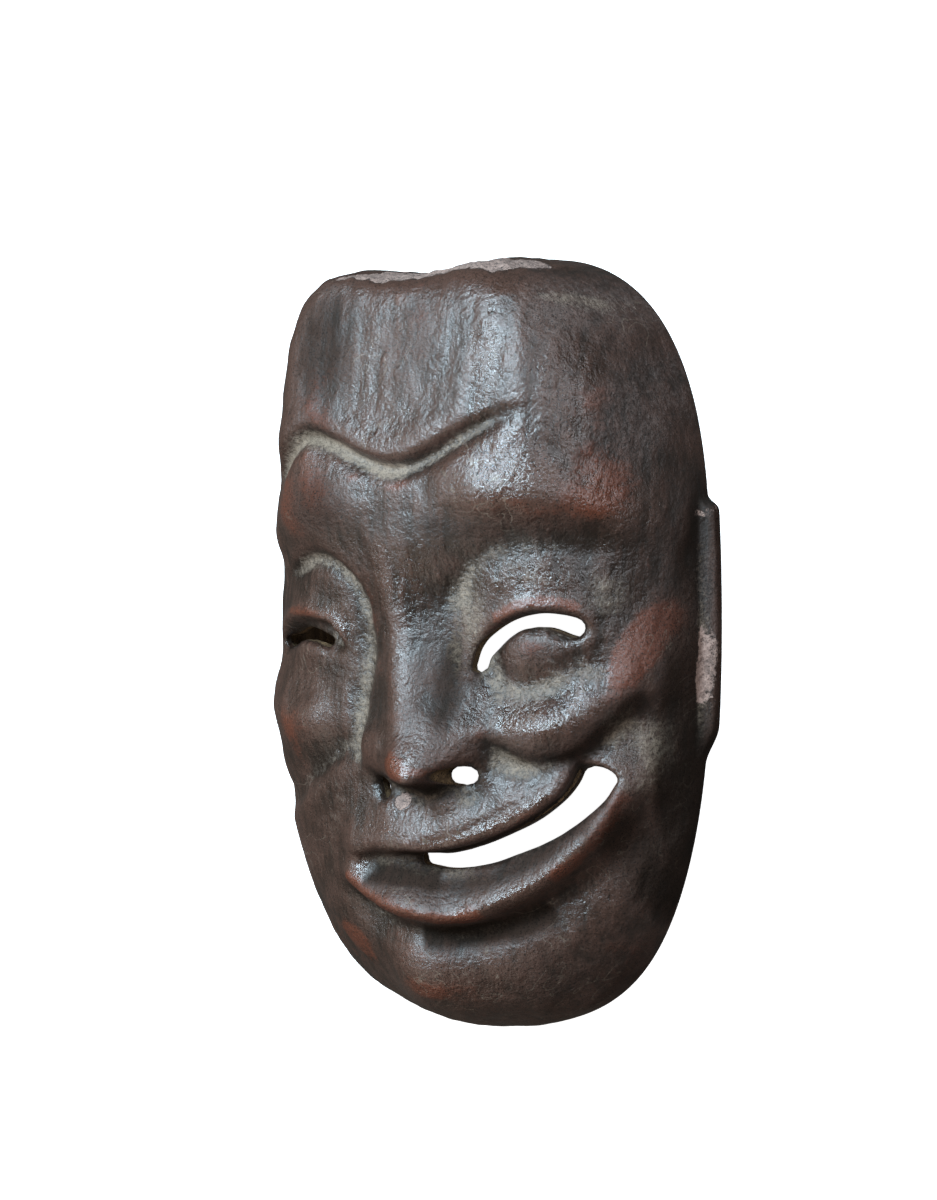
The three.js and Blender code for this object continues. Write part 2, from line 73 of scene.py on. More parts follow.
# The hollow: it follows deep carving closely and high carving loosely, and lies nearer at the openings
FOLLOW_DEEP, FOLLOW_HIGH = 0.85, 0.4
HOLLOW_FROM = (2, 20)
THINNING, THINNING_WIDTH, THINNING_EDGE = 4.5, 9, 2.5
LEAST_WALL = 3
SCOOP_SIZE = (9, 24)
SCOOP_SPREAD = (0.15, 0.85)  # where in its cell a scoop's middle may lie
SCOOP_CELLS, SCOOP_START, SCOOP_SEED = 64, 20, 5
SCOOPS_FROM = (2, 9)

# Edges of the openings: how far they are rounded off, and the waves of the cut wood
EDGE_DROP, EDGE_WIDTH = 1.3, 1.9
WAVE_HEIGHT, WAVE_SIZES, WAVE_SEED = 0.35, (4, 4, 3), 8

# Unevenness of the outside in layers of noise: sizes of the lumps, share, seed
NOISE_CELLS, NOISE_START = 32, 512.37
SOFT_LUMPS = [((13, 15, 13), 1, 1), ((6, 7, 6), 0.55, 2), ((2.8, 3.4, 3), 0.3, 3)]
LONG_CUTS = [((2.4, 30, 12), 1, 4), ((5, 40, 15), 0.6, 6)]
LONG_CUTS_FROM = (62, 84)  # Y between which the long cuts of the forehead set in
UNEVEN_FROM = (0, 5)

# The torn top edge: an upper border where the front turns, and a lower one that rises to both ends
TORN_FACING, TORN_SOFTNESS, TORN_UNEVEN, TORN_DEPTH = 0.90, 0.04, 0.05, 0.9
TORN_LOW, TORN_RISE, TORN_MIDDLE, TORN_HALF = 30, 18, 14, 44
TORN_FROM = (98, 106)
TORN_UPPER_LAYERS = [((7, 60, 9), 1, 11), ((2.3, 30, 9), 0.7, 12)]
TORN_LOWER_LAYERS = [((10, 60, 40), 11, 14), ((3, 60, 7), 5, 15)]
TORN_LEAST, TORN_GRAIN, TORN_SEED = 0.4, (3, 5, 2), 13

# Ridges and grooves: points, height, width on the left and right of the line, fade at its start and end
STROKES = {
    "forehead_groove": ([(-64, 48), (-54, 56.5), (-46, 63), (-37, 67.3), (-27, 65.3), (-16, 61), (-6, 58.5),
        (2, 59), (11, 63), (22, 69.8), (33, 75.5), (43, 79), (54, 80)], -4.2, 1.8, 3.8, 0.1, 0.35),
    "groove_lip": ([(-64, 54), (-46, 68.5), (-37, 72.5), (-26, 70), (-8, 63.5), (2, 64), (11, 68.5),
        (22, 75.3), (35, 81.5)], 1.8, 7, 3, 0.1, 0.3),
    "left_brow": ([(6, 50), (22, 51), (40, 51), (54, 50), (66, 45), (75, 34)], 3.4, 10, 6.5, 0.3, 0.2),
    "right_brow": ([(-6, 48), (-18, 47), (-32, 45), (-46, 42), (-58, 38), (-72, 30)], 3, 9, 9, 0.3, 0.1),
    "left_lid_crease": ([(15, 4), (18, 18), (26, 29), (38, 35.5), (50, 36.5), (60, 34), (68, 27)],
        -2.4, 7, 6, 0.2, 0.3),
    "right_lid_crease": ([(-15, 4), (-17.5, 14), (-22, 21), (-30, 26), (-40, 27), (-52, 23), (-64, 16)],
        -3.2, 4.5, 2.2, 0.15, 0.2),
    "left_lower_crease": ([(22, -10), (31, -10.5), (42, -11.5), (53, -8.5), (61, -1), (66, 9)],
        -1.8, 6, 6, 0.2, 0.3),
    "left_cheek_apple": ([(28, -21), (40, -22), (52, -19.5), (61, -13), (68, -4), (72, 8), (73, 22)],
        5.8, 8, 9, 0.3, 0.35),
    "right_cheek_apple": ([(-28, -22), (-38, -26), (-50, -27), (-62, -25), (-76, -20)],
        3.5, 10, 10, 0.3, 0.1),
    "left_cheek_fold": ([(25, -24), (32, -31), (42, -35), (53, -34), (62, -29), (69, -20), (75, -8)],
        -5.4, 4, 6.5, 0.2, 0.2),
    "right_cheek_fold": ([(-21, -28), (-28, -34.5), (-37, -41), (-47, -47), (-58, -55), (-74, -60)],
        -3.6, 4, 9, 0.25, 0.1),
    "smile_line": ([(73, -12), (74, -30), (72, -48), (66, -64), (54, -80)], 2.6, 6, 6, 0.3, 0.3),
    "nose_side": ([(-16, 10), (-14.5, -3), (-17, -18), (-19, -31), (-18, -42)], -2.4, 2.6, 5, 0.15, 0.2),
}

# Bumps and hollows: centre, half sizes, height, turn in degrees, exponent of the fall
LUMPS = {
    "left_socket": (39, 7, 28, 25, -9, 5, 2.6),
    "left_eyeball": (44, 10.5, 20.5, 17.5, 8.2, 5, 2.5),
    "right_socket": (-40, 4, 27, 24, -7.5, -5, 2.8),
    "right_eyeball": (-43, 5, 21, 17, 6.8, -5, 2.5),
    "bridge": (0, 10, 13, 14, -2, 0, 2),
    "chin": (10, -112, 36, 13, 5, 0, 2.2),
    "right_cheek": (-44, -66, 22, 18, -1.5, 0, 2),
    "glabella": (0, 38, 14, 12, 1.2, 0, 2),
}

# Edges of the upper lids: points, the step down to the eyeball and the height of the rim above it
LIDS = [
    ([(22, -12), (25.5, -2), (30, 6.5), (36.5, 12), (45, 15.2), (54, 14.8), (62, 10)], 5, 1.4),
    ([(-66, -6), (-58, 3.5), (-49, 7), (-40, 7.6), (-31.5, 5.5), (-24, -3)], 4.5, 1.4),
]
LID_FADE = 0.15
LID_STEP = (1, -2)  # distances between which the step goes down
LID_LEDGE = 7  # width over which it is lost again on the eyeball
LID_RIM, LID_RIM_WIDTH = 1.5, 3.2

# Nose: its ridge leans to the wearer's left
NOSE_TOP, NOSE_TIP = (-5.5, 26), (8.5, -37.5)
NOSE_RISE = (3.5, 6, 6.5)  # height at the root, and how it grows with the length and its cube
NOSE_LEFT, NOSE_RIGHT = (7.8, 7.2), (6.5, 5.5)
NOSE_ROUNDNESS = 2.1
NOSE_ROOT = (-0.3, 0.25)  # shares of its length over which the ridge comes up at the root
NOSE_OVERHANG = 1.15  # share of its length past which the ridge grows no more
NOSTRIL_WINGS = [(22.5, -25.5, 9.5, 8.5, 3.6, 0, 2.6), (-8.5, -31.5, 7, 8.5, 4.6, 0, 2.6)]
NOSE_BALL = (8.5, -35, 8, 6.5, 2.6, 0, 2.6)
SEPTUM = (14, -44.5, 7, 5.5, 6, 0, 2.6)
NOSE_UNDERCUT = (8, -44.5, 17, 5, 4.8, 0, 2.5)
NOSE_BASE, NOSE_BASE_LEFT, NOSE_BASE_RIGHT = -40.3, 8.5, 1.5
NOSE_BASE_SLOPE, NOSE_BASE_TURN = (8, 25), (2, -8)
NOSE_BASE_EDGE = (-6.5, 0.8)  # distances from the base between which the nose reaches its height

# Mouth: the line where the lips part, and the crest of the lower lip
MOUTH_LINE = [(-26, -76), (-14, -70.5), (-2, -68.5), (10, -67.5), (24, -64), (38, -58), (50, -49.5),
    (57.5, -40), (60.5, -32)]
LOWER_LIP = [(-28, -70), (-22, -75.8), (-11.5, -81.2), (4, -84), (18.5, -83.8), (30.5, -78.9),
    (42.2, -71.7), (52.3, -62.7), (60, -52.8), (65, -43), (67, -35), (64, -26)]
MOUTH_DEPTH, MOUTH_FADES = 9.5, (0.5, 0.1)
UPPER_LIP_RISE, UPPER_LIP_FROM, UPPER_LIP_WIDTH, UPPER_LIP_FADE = 4, (1, 6), 8, 0.12
UPPER_LIP_EDGE = 4  # how far over the line the cut under the upper lip still shows
LOWER_LIP_RISE, LOWER_LIP_FADES = 4.6, (0.1, 0.2)
LIP_FLOOR = 0.15  # share of the way from the slit to the crest where the lip starts
LIP_INNER, LIP_OUTER = 5.6, 4.8
CHIN_GROOVE, GROOVE_BELOW, GROOVE_WIDTH, GROOVE_FADES = 5.4, 10.2, 6, (0.25, 0.3)

# The fine cut over the upper lip's dark edge, written as the strokes are
LIP_CUT = ([(2, -62), (12, -60.2), (21, -57), (31, -51.2), (40.5, -45.2), (46.5, -40), (49.5, -34)],
    -0.9, 1.3, 1.1, 0.2, 0.2)

# Openings: middle line and its half widths at even steps along it
OPENINGS = {
    "left_eye": ([(24.2, -4.2), (25.9, 0.2), (29.5, 3.9), (34.6, 7.7), (40.4, 10.8), (47, 12), (51.6, 11.4),
        (54.9, 10.5)], (1.4, 3.1, 1.8, 2.4, 3.8)),
    "right_eye": ([(-62, -3), (-55, 0), (-48, 1.3), (-41.5, 1), (-36, -0.4)], (1.6, 2.8, 1.6)),
    "mouth": ([(6, -68.9), (15, -69.8), (25.7, -66.9), (35.8, -62.4), (45.9, -56.7), (53.9, -49.8),
        (59.3, -43), (62.5, -36.9)], (2.1, 3.1, 3.3, 2.9, 2.9)),
    "left_nostril": ([(17.2, -38.8), (20, -38.6), (22.8, -38.3)], (2.6, 4.2, 2.8)),
    "right_nostril": ([(-9, -43.2), (-8.4, -45.4), (-7.4, -47.6)], (1.2, 1.7, 1.2)),
}

# Faces across and along the mask, and their relative widths from one side to the other
COLUMNS, ROWS = 172, 258
COLUMN_SPACING = [1.5, 1.05, 1, 1, 0.9, 0.85, 0.85, 0.9, 1.15]
ROW_SPACING = [2, 1.2, 0.85, 0.85, 0.9, 1, 1, 1.1, 1.4, 1.8, 1]
RIM_ROWS, WALL_ROWS = 3, 6
ON_RIM = 1 - 1e-9  # grid place from which a point lies on the rim
SNAP_ROUNDS, SNAP_STEP, SNAP_LEAST = 4, 0.02, 0.2

# What the painted values take from the form: how far it stands out of its lightly and much averaged self
FINE_PASSES, BROAD_PASSES = 10, 90
FINE_SHARE, BROAD_SHARE = 0.5, 0.6
HOLLOW_FINE, HOLLOW_BROAD = (0.05, 0.6), (0.3, 2.6)
RIDGE_FINE, RIDGE_BROAD = (0.08, 0.6), (0.4, 2.4)
STEEP_FROM = (0.75, 0.2)  # share of the normal that points out of the face
LINE_FADE = 0.12
FAR_SIDE, FAR_CHIPS_FROM = -40, (32, 42)  # X of the wearer's right side, and the heights its chips start at
TORN_BARE = 0.85
RIM_INSIDE = 0.9  # how far the flat rim counts as inside, for its finish

# Wear over the front by kind, with painted shade and a painted highlight among it. Spots: centre, half sizes,
# strength, turn and exponent as for the bumps.
# Lines: points, width, strength.
WEAR = {
    "red": ([
        (60, 58, 8, 14, 0.85), (58, 76, 7, 15, 0.5), (2, 98, 9, 20, 0.45), (43, 48, 13, 4, 0.3),
        (-32, 82, 10, 12.6, 0.6), (-33, 52, 10.4, 10, 0.6), (-8, 69, 3.4, 1.6, 0.6, 0, 2),
        (0, 53, 5.3, 1.9, 0.7, 20, 2), (-17, 55, 4.7, 2.6, 0.6, 0, 2), (-13, 7, 6, 23, 0.5, 5),
        (70, 6, 4.6, 15, 1.5, -20, 3), (6, -36, 5, 4, 1, 0, 3), (13, -36, 4, 1.8, 0.7, 0, 2),
        (29, -26, 2.5, 7.5, 0.5, 0, 2), (-37, -102, 19, 8, 0.5, -35), (-29, -101.5, 9, 5, 1.5, -35),
        (4, -110, 9, 3.5, 0.9, -8), (12, -110, 15.5, 4.5, 0.6), (60, -95, 6.5, 8, 0.5),
        (76, -27, 1.4, 9, 0.5, 0, 2), (-51, -35, 6.7, 12, 0.6), (-44, 9, 12, 1.7, 0.7, 0, 2),
        (44, 4, 5, 2.2, 0.6, 0, 2), (-46, 45, 8, 14, 0.6), (71, 28, 2, 9.5, 0.5, 0, 2),
        (2.5, -97, 32, 5, 0.35, -8), (-70, -20, 4, 16, 0.6)], [
        ([(31, 11), (35, 14), (42, 18), (49, 19), (54, 18.5), (58, 16)], 1.6, 0.9),
        ([(-25, -75), (-20, -78), (-7, -83), (4, -85), (18, -85), (28, -81)], 2.8, 1),
        ([(45, -72), (53.5, -65), (60, -56.5), (64.5, -47), (67, -39)], 3, 0.6),
        ([(12, -61), (28, -57.6), (40, -51), (50, -45), (59, -40)], 2, 0.15)]),
    "dusty": ([
        (24, 12, 7, 16, 0.95), (42, 27, 18, 6, 0.6), (31, -18, 5, 8, 0.55), (40, -34, 12, 7.5, 0.6, -15),
        (-25, -2, 7, 20, 0.4), (-32, -51, 14, 9, 0.55), (25, -53, 28, 6.6, 0.35, -18, 3),
        (12, -74, 23, 3.5, 0.4, -5), (67, -20, 6, 9, 0.8), (26, 20, 5, 12, 0.6, 20), (73, -27, 4, 13, 1.1),
        (71, -62, 3, 11, 0.45), (22, -98, 18, 4.6, 0.3), (64, 7, 3.3, 8, 0.4), (64, 20, 7, 11, 0.8),
        (60, -3, 5, 5, 0.8), (21, 6, 6, 24, 0.6, 0, 2), (78.3, -3, 0.5, 19, 0.9, 1.25, 2),
        (46, 113, 9, 3, 0.9, -18), (70, -34, 5, 18, 0.7, 10), (2, 28, 10, 12, 0.35),
        (-34, -60, 12, 14, 0.4)], [
        ([(-64, 47), (-46, 62), (-37, 66.5), (-16, 60), (-6, 57.5), (6, 59.5)], 4.2, 0.95),
        ([(-6, 57), (11, 61.5), (22, 68.5), (34, 75)], 3.2, 0.42),
        ([(25, -11.5), (34, -13.4), (42, -13), (50.6, -7), (56, -2), (62, 3.6)], 10, 0.55),
        ([(-64, 15), (-52, 22), (-40, 26), (-30, 25), (-22, 20), (-17.5, 13), (-17, 0), (-20, -18),
          (-20, -36), (-16, -50)], 5, 0.42)]),
    # Grey film of old dirt; the spot on the nose's root, at (0, 32), is a painted highlight that stands in
    # for a reflection
    "film_and_sheen": ([
        (65, 83, 7.5, 27, 0.7, 0, 4), (78, 28, 2.5, 24, 0.7, 0, 3), (74, 22, 3.5, 44, 0.4, 0, 3),
        (-2, 99, 24, 16, 0.2, 0, 3), (0, 32, 8, 10, 0.5, 0, 3), (46, 110, 16, 12, 0.9, -30, 3),
        (-68, 60, 5, 30, 0.6, 0, 3), (-60, -75, 7, 20, 0.4, 0, 3)], []),
    # Soot and painted shade: partly real grime, partly shade painted dark under the nose, lips, brows and
    # cheeks' apples, along both sides, and on the nose's side and ridge to dim them
    "soot_and_shade": ([
        (-34, 96, 15, 26, 0.75, 0, 3), (-32, 46, 16, 11, 0.8, 0, 3), (-34, 72, 14, 10, 0.5, 0, 3),
        (8, -43.5, 14, 4, 1, 0, 3), (48, -104, 26, 16, 0.4, 20, 3), (20, 40, 40, 5, 0.55, 0, 3),
        (-32, 41, 26, 5, 0.4, 0, 3), (70, -70, 8, 34, 0.8, 15, 3), (17, -10, 6, 20, 0.8, 0, 3),
        (9, -10, 5, 22, 0.45, 0, 3), (8, -80, 15, 4, 0.55, -8), (2, 100, 11, 20, 0.4, 0, 3),
        (76.5, -55, 4, 75, 0.9, 0, 4), (77, 50, 3.5, 60, 0.5, 0, 4), (45, 3, 7, 5, 0.55),
        (-76, 0, 4, 130, 0.7, 0, 4), (50, -30, 10, 5, 0.6, 10), (38, -26, 14, 4, 0.5)], [
        ([(-18, -74), (-8, -74.5), (4, -75), (14, -75.5)], 5, 1.1),
        ([(2, -75), (16, -76.5), (29, -72.5), (42, -65.5), (53, -56), (61, -46)], 3.4, 0.8),
        ([(-6, -66.6), (8, -65.8), (22, -62.8), (34, -57.2), (46, -49.6), (53, -43)], 1.8, 1),
        ([(0, -95), (18, -94), (34, -90), (50, -82)], 5, 1.2),
        ([(28, -27), (40, -30), (54, -27), (64, -19), (72, -6)], 5, 0.6)]),
    "polish": ([
        (39, 60.5, 13, 10, 2, 10, 2), (28, 94, 6, 20, 0.65), (52, 82, 6, 26, 0.7, 0, 3),
        (41, 25, 16, 6, 1, 5, 3), (-28, 5, 5, 9, 0.8, 0, 3), (0, 30, 9, 13, 1.6, 0, 3),
        (7, -36, 5, 5, 0.9, 0, 3), (62, 52, 8, 12, 0.7, 0, 3), (-16.5, -73.5, 4, 2.6, 1.3, 10, 2)], [
        ([(32, -22), (44, -19.5), (54, -15), (62, -8)], 5.2, 1.6),
        ([(6, -62.8), (21.7, -59.4), (31.8, -54), (43.2, -47.4), (50, -41.5)], 1.7, 1.6),
        ([(14, -84.5), (24, -83.5), (33, -79), (42, -73), (51, -65.5), (59, -55)], 2.8, 1.5)]),
    "bare": ([
        (0, -49, 3, 2.7, 1, 0, 8), (75.7, 47.3, 1, 2.8, 0.6, 0, 2), (71, 50, 1, 7, 0.45, -20, 3),
        (64, 65, 1, 7, 0.45, 20, 3), (-20, -74, 2, 1.3, 0.4, 0, 3), (-76, 40, 2, 3, 0.9, 0, 4),
        (78.33, -2.5, 0.42, 17, 0.97, 1.25)], []),
}

# Finish
LACQUER_IOR = 1.62
CRUST_ROUGHNESS, CRUST_GLOSS = 0.9, 0.15
GLOSSIEST, DULLEST = 0.12, 0.95
BUMP_DISTANCE = 0.0016

# Stage: lamps as place in metres, width, share of the main power, colour
LIGHTS = [
    ("key", (-0.04, 0.55, 1.05), 0.28, 1.6, (0.68, 0.87, 1.0)),
    ("window", (1.0, 0.48, 0.52), 0.30, 0.36, (0.88, 0.93, 1.0)),
    ("far_window", (-0.6, 0.02, 1.05), 0.16, 0.18, (0.80, 0.90, 1.0)),
    ("left", (-0.9, 0.1, 0.8), 0.8, 0.14, (1.0, 0.92, 0.82)),
    ("below", (-0.4, -0.9, 0.8), 0.6, 0.18, (1.0, 0.88, 0.76)),
]
ROOM_COLOUR, ROOM_LIGHT = (1.0, 0.93, 0.84, 1.0), 0.12
FLOOR_CORNERS = [(-3, -3, 0), (3, -3, 0), (3, 3, 0), (-3, 3, 0)]
FLOOR_ROUGHNESS, FLOOR_GLOW = 0.9, 1.0
CAMERA_PLACE = (0.4646, 0.0772, 0.7673)
CAMERA_SENSOR, CAMERA_REACH = 36, 20


class MaskSizes(bpy.types.PropertyGroup):
    """Sizes of the mask, in metres."""

    half_width: FloatProperty(
        name="Half width", description="Half the width of the rim without the ears",
        default=0.0786, min=0.06, max=0.1, unit="LENGTH")
    half_height: FloatProperty(
        name="Half height", description="Half the height of the rim",
        default=0.131, min=0.1, max=0.16, unit="LENGTH")
    wall: FloatProperty(
        name="Wall", description="Thickness of the wood at the rim",
        default=0.009, min=0.004, max=0.015, unit="LENGTH")
    crown_wall: FloatProperty(
        name="Front wall", description="Thickness of the wood at the front",
        default=0.010, min=0.005, max=0.02, unit="LENGTH")
    unevenness: FloatProperty(
        name="Unevenness", description="Height of the hand-cut lumps on the outside",
        default=0.00045, min=0.0, max=0.002, unit="LENGTH")
    tool_marks: FloatProperty(
        name="Tool marks", description="Depth of the long cuts on the forehead",
        default=0.00028, min=0.0, max=0.001, unit="LENGTH")
    gouge_marks: FloatProperty(
        name="Gouge marks", description="Depth of the scoops inside the hollow",
        default=0.0011, min=0.0, max=0.003, unit="LENGTH")


class MaskFinish(bpy.types.PropertyGroup):
    """Colours of the mask, its lacquer, its wear and its painted shade."""

    lacquer: FloatVectorProperty(
        name="Lacquer", description="Dark lacquer", subtype="COLOR", default=(0.018, 0.0105, 0.007))
    lacquer_brown: FloatVectorProperty(
        name="Brown lacquer", description="Lacquer where it is thinner", subtype="COLOR",
        default=(0.092, 0.046, 0.033))
    worn: FloatVectorProperty(
        name="Worn red", description="Reddish ground where hands have rubbed the lacquer", subtype="COLOR",
        default=(0.165, 0.045, 0.022))
    # Colour of the dirt film, and of the painted highlight on the nose's root
    film: FloatVectorProperty(
        name="Film", description="Pinkish grey film of old dirt on the lacquer", subtype="COLOR",
        default=(0.175, 0.128, 0.113))
    # Colour of real grime and of the painted shade under the lips, the nose and the brows and along the sides
    soot_and_shade: FloatVectorProperty(
        name="Soot", description="Dark grime under the lips, the brows and along the sides", subtype="COLOR",
        default=(0.012, 0.010, 0.007))
    dust: FloatVectorProperty(
        name="Dust", description="Old dust in the hollows", subtype="COLOR", default=(0.285, 0.225, 0.172))
    bare_wood: FloatVectorProperty(
        name="Bare wood", description="Wood in the chips and along the top edge", subtype="COLOR",
        default=(0.46, 0.32, 0.27))
    inside_wood: FloatVectorProperty(
        name="Inside wood", description="Rough wood of the hollow", subtype="COLOR",
        default=(0.27, 0.175, 0.095))
    gloss: FloatProperty(
        name="Roughness", description="Roughness of the lacquer", default=0.33, min=0.05, max=1.0,
        subtype="FACTOR")


class StageSettings(bpy.types.PropertyGroup):
    """The floor, the light and the camera."""

    floor: FloatVectorProperty(
        name="Floor", description="Colour of the floor", subtype="COLOR", default=(0.86, 0.86, 0.86))
    key_power: FloatProperty(
        name="Main light", description="Power of the large soft light", default=16.0, min=0.0, unit="POWER")
    yaw: FloatProperty(
        name="Camera turn", description="How far the camera stands to the wearer's left",
        default=math.radians(32), subtype="ANGLE")
    pitch: FloatProperty(
        name="Camera lift", description="How far the camera stands towards the forehead",
        default=math.radians(4), subtype="ANGLE")
    roll: FloatProperty(
        name="Camera roll", description="Lean of the picture", default=math.radians(-2), subtype="ANGLE")
    lens: FloatProperty(
        name="Lens", description="Focal length", default=79.4, unit="CAMERA")


def smooth(start, end, value):
    """0 before start, 1 after end and 3t^2 - 2t^3 between, with t the share of the way."""
    t = np.clip((value - start) / (end - start), 0, 1)
    return t * t * (3 - 2 * t)


def bell(value):
    """e to the power of minus the square."""
    return np.exp(-value * value)


def spline(values, place):
    """Uniform cubic B-spline: four values in a row, blended by the share f of the way past the second."""
    v = np.array(values, float)
    i = np.minimum(place.astype(int), len(v) - 4)
    f = place - i
    return ((1 - f) ** 3 * v[i] + (3 * f ** 3 - 6 * f ** 2 + 4) * v[i + 1]
            + (-3 * f ** 3 + 3 * f ** 2 + 3 * f + 1) * v[i + 2] + f ** 3 * v[i + 3]) / 6


def along_table(share, table):
    """B-spline along an evenly spaced table, mirrored at its two ends."""
    return spline([table[1], *table, table[-2]], np.clip(share, 0, 1) * (len(table) - 1))


def round_table(share, table):
    """B-spline round a closed ring of values."""
    return spline([table[-1], *table, table[0], table[1]], (share % 1) * len(table))


def curve(points, per=6):
    """Catmull-Rom line: each span is half of (2b + (c-a)t + (2a-5b+4c-d)t^2 + (3b-a-3c+d)t^3)."""
    p = np.array(points, float)
    p = np.vstack([2 * p[0] - p[1], p, 2 * p[-1] - p[-2]])
    a, b, c, d = (p[k:len(p) - 3 + k, None] for k in range(4))
    t = np.linspace(0, 1, per, endpoint=False)[None, :, None]
    spans = 0.5 * (2 * b + (c - a) * t + (2 * a - 5 * b + 4 * c - d) * t ** 2
                   + (3 * b - a - 3 * c + d) * t ** 3)
    return np.vstack([spans.reshape(-1, 2), p[-2]])


def nearest(x, y, points):
    """Distance to the line through the points, positive on its left, and the share of its length there:
    the smallest over the line's straight steps of the distance to the foot on that step."""
    line = curve(points)
    best = np.full(x.shape, np.inf)
    side = np.zeros(x.shape)
    share = np.zeros(x.shape)
    steps = len(line) - 1
    for i, ((ax, ay), (ex, ey)) in enumerate(zip(line[:-1], np.diff(line, axis=0))):
        foot = np.clip(((x - ax) * ex + (y - ay) * ey) / (ex * ex + ey * ey), 0, 1)
        dx, dy = x - ax - foot * ex, y - ay - foot * ey
        away = np.hypot(dx, dy)
        closer = away < best
        best = np.where(closer, away, best)
        side = np.where(closer, ex * dy - ey * dx, side)
        share = np.where(closer, (i + foot) / steps, share)
    return np.where(side < 0, -best, best), share


def fade(share, start, end):
    """0 at both ends of a line and 1 between, over the given shares of its length."""
    return smooth(0, start, share) * smooth(0, end, 1 - share)


def stroke(x, y, points, height, left, right, start, end):
    """A bell across the line, height * e^-(distance/width)^2, with its own width on each side."""
    signed, share = nearest(x, y, points)
    return height * bell(signed / np.where(signed > 0, left, right)) * fade(share, start, end)


def lump(x, y, cx, cy, rx, ry, height, turn=0, power=2.5):
    """A turned elliptic bump, height * e^-(u^2 + v^2)^(power/2)."""
    c, s = math.cos(math.radians(turn)), math.sin(math.radians(turn))
    u = ((x - cx) * c + (y - cy) * s) / rx
    v = (-(x - cx) * s + (y - cy) * c) / ry
    return height * np.exp(-(u * u + v * v) ** (power / 2))


def lid(x, y, points, step, rise):
    """A rim above the lid's edge, and below it a step down that rises again over the eyeball."""
    signed, share = nearest(x, y, points)
    ledge = smooth(*LID_STEP, signed) * bell(np.minimum(signed - LID_STEP[1], 0) / LID_LEDGE)
    rim = bell((signed - LID_RIM) / LID_RIM_WIDTH)
    return fade(share, LID_FADE, LID_FADE) * (rise * rim - step * ledge)


def nose(x, y):
    """A ridge from the root to the tip that grows with the length and its cube, cut off at the base."""
    (tx, ty), (bx, by) = NOSE_TOP, NOSE_TIP
    dx, dy = bx - tx, by - ty
    length = math.hypot(dx, dy)
    along = ((x - tx) * dx + (y - ty) * dy) / length ** 2
    across = (-(x - tx) * dy + (y - ty) * dx) / length
    t = np.clip(along, 0, NOSE_OVERHANG)
    half = np.where(across > 0, NOSE_LEFT[0] + NOSE_LEFT[1] * t, NOSE_RIGHT[0] + NOSE_RIGHT[1] * t)
    rise = NOSE_RISE[0] + NOSE_RISE[1] * t + NOSE_RISE[2] * t ** 3
    height = rise * np.exp(-(np.abs(across) / half) ** NOSE_ROUNDNESS) * smooth(*NOSE_ROOT, along)
    height = height + sum(lump(x, y, *bump) for bump in [*NOSTRIL_WINGS, NOSE_BALL])
    base = (NOSE_BASE + NOSE_BASE_LEFT * smooth(*NOSE_BASE_SLOPE, x)
            + NOSE_BASE_RIGHT * smooth(*NOSE_BASE_TURN, x))
    above = smooth(*NOSE_BASE_EDGE, y - base)
    return height * above - lump(x, y, *NOSE_UNDERCUT) + lump(x, y, *SEPTUM)


def mouth(x, y):
    """The lips: a rise above the mouth line, a ledge that climbs from it to the crest of the lower lip,
    and a groove under that crest."""
    signed, share = nearest(x, y, MOUTH_LINE)
    lip, lip_share = nearest(x, y, LOWER_LIP)
    over = np.maximum(signed - UPPER_LIP_FROM[1], 0)
    upper = (UPPER_LIP_RISE * bell(over / UPPER_LIP_WIDTH) * smooth(*UPPER_LIP_FROM, signed)
             * fade(share, UPPER_LIP_FADE, UPPER_LIP_FADE))
    climb = np.abs(signed) / np.maximum(np.abs(signed) + np.abs(lip), TINY)
    ledge = np.where((signed < 0) & (lip > 0), 1 - smooth(LIP_FLOOR, 1, climb), 0)
    under_lip = np.where(signed >= 0, smooth(UPPER_LIP_EDGE, 0, signed), 0)
    width = np.where(lip > 0, LIP_INNER, LIP_OUTER)
    lower = LOWER_LIP_RISE * bell(lip / width) * fade(lip_share, *LOWER_LIP_FADES)
    below = CHIN_GROOVE * bell((-lip - GROOVE_BELOW) / GROOVE_WIDTH) * fade(lip_share, *GROOVE_FADES)
    groove = np.where(lip < 0, below, 0)
    return upper - MOUTH_DEPTH * fade(share, *MOUTH_FADES) * np.maximum(ledge, under_lip) + lower - groove


def carving(x, y):
    """Height of all carving over the plain front: the sum of all its parts."""
    height = nose(x, y) + mouth(x, y)
    height = height + sum(lid(x, y, *one) for one in LIDS)
    height = height + sum(stroke(x, y, *one) for one in STROKES.values())
    return height + sum(lump(x, y, *one) for one in LUMPS.values())


def opening_distance(x, y):
    """Distance to the edge of the nearest opening, negative inside it: the distance to its middle line less
    its half width there."""
    gaps = []
    for points, widths in OPENINGS.values():
        signed, share = nearest(x, y, points)
        gaps.append(np.abs(signed) - along_table(share, widths))
    return np.min(gaps, axis=0)


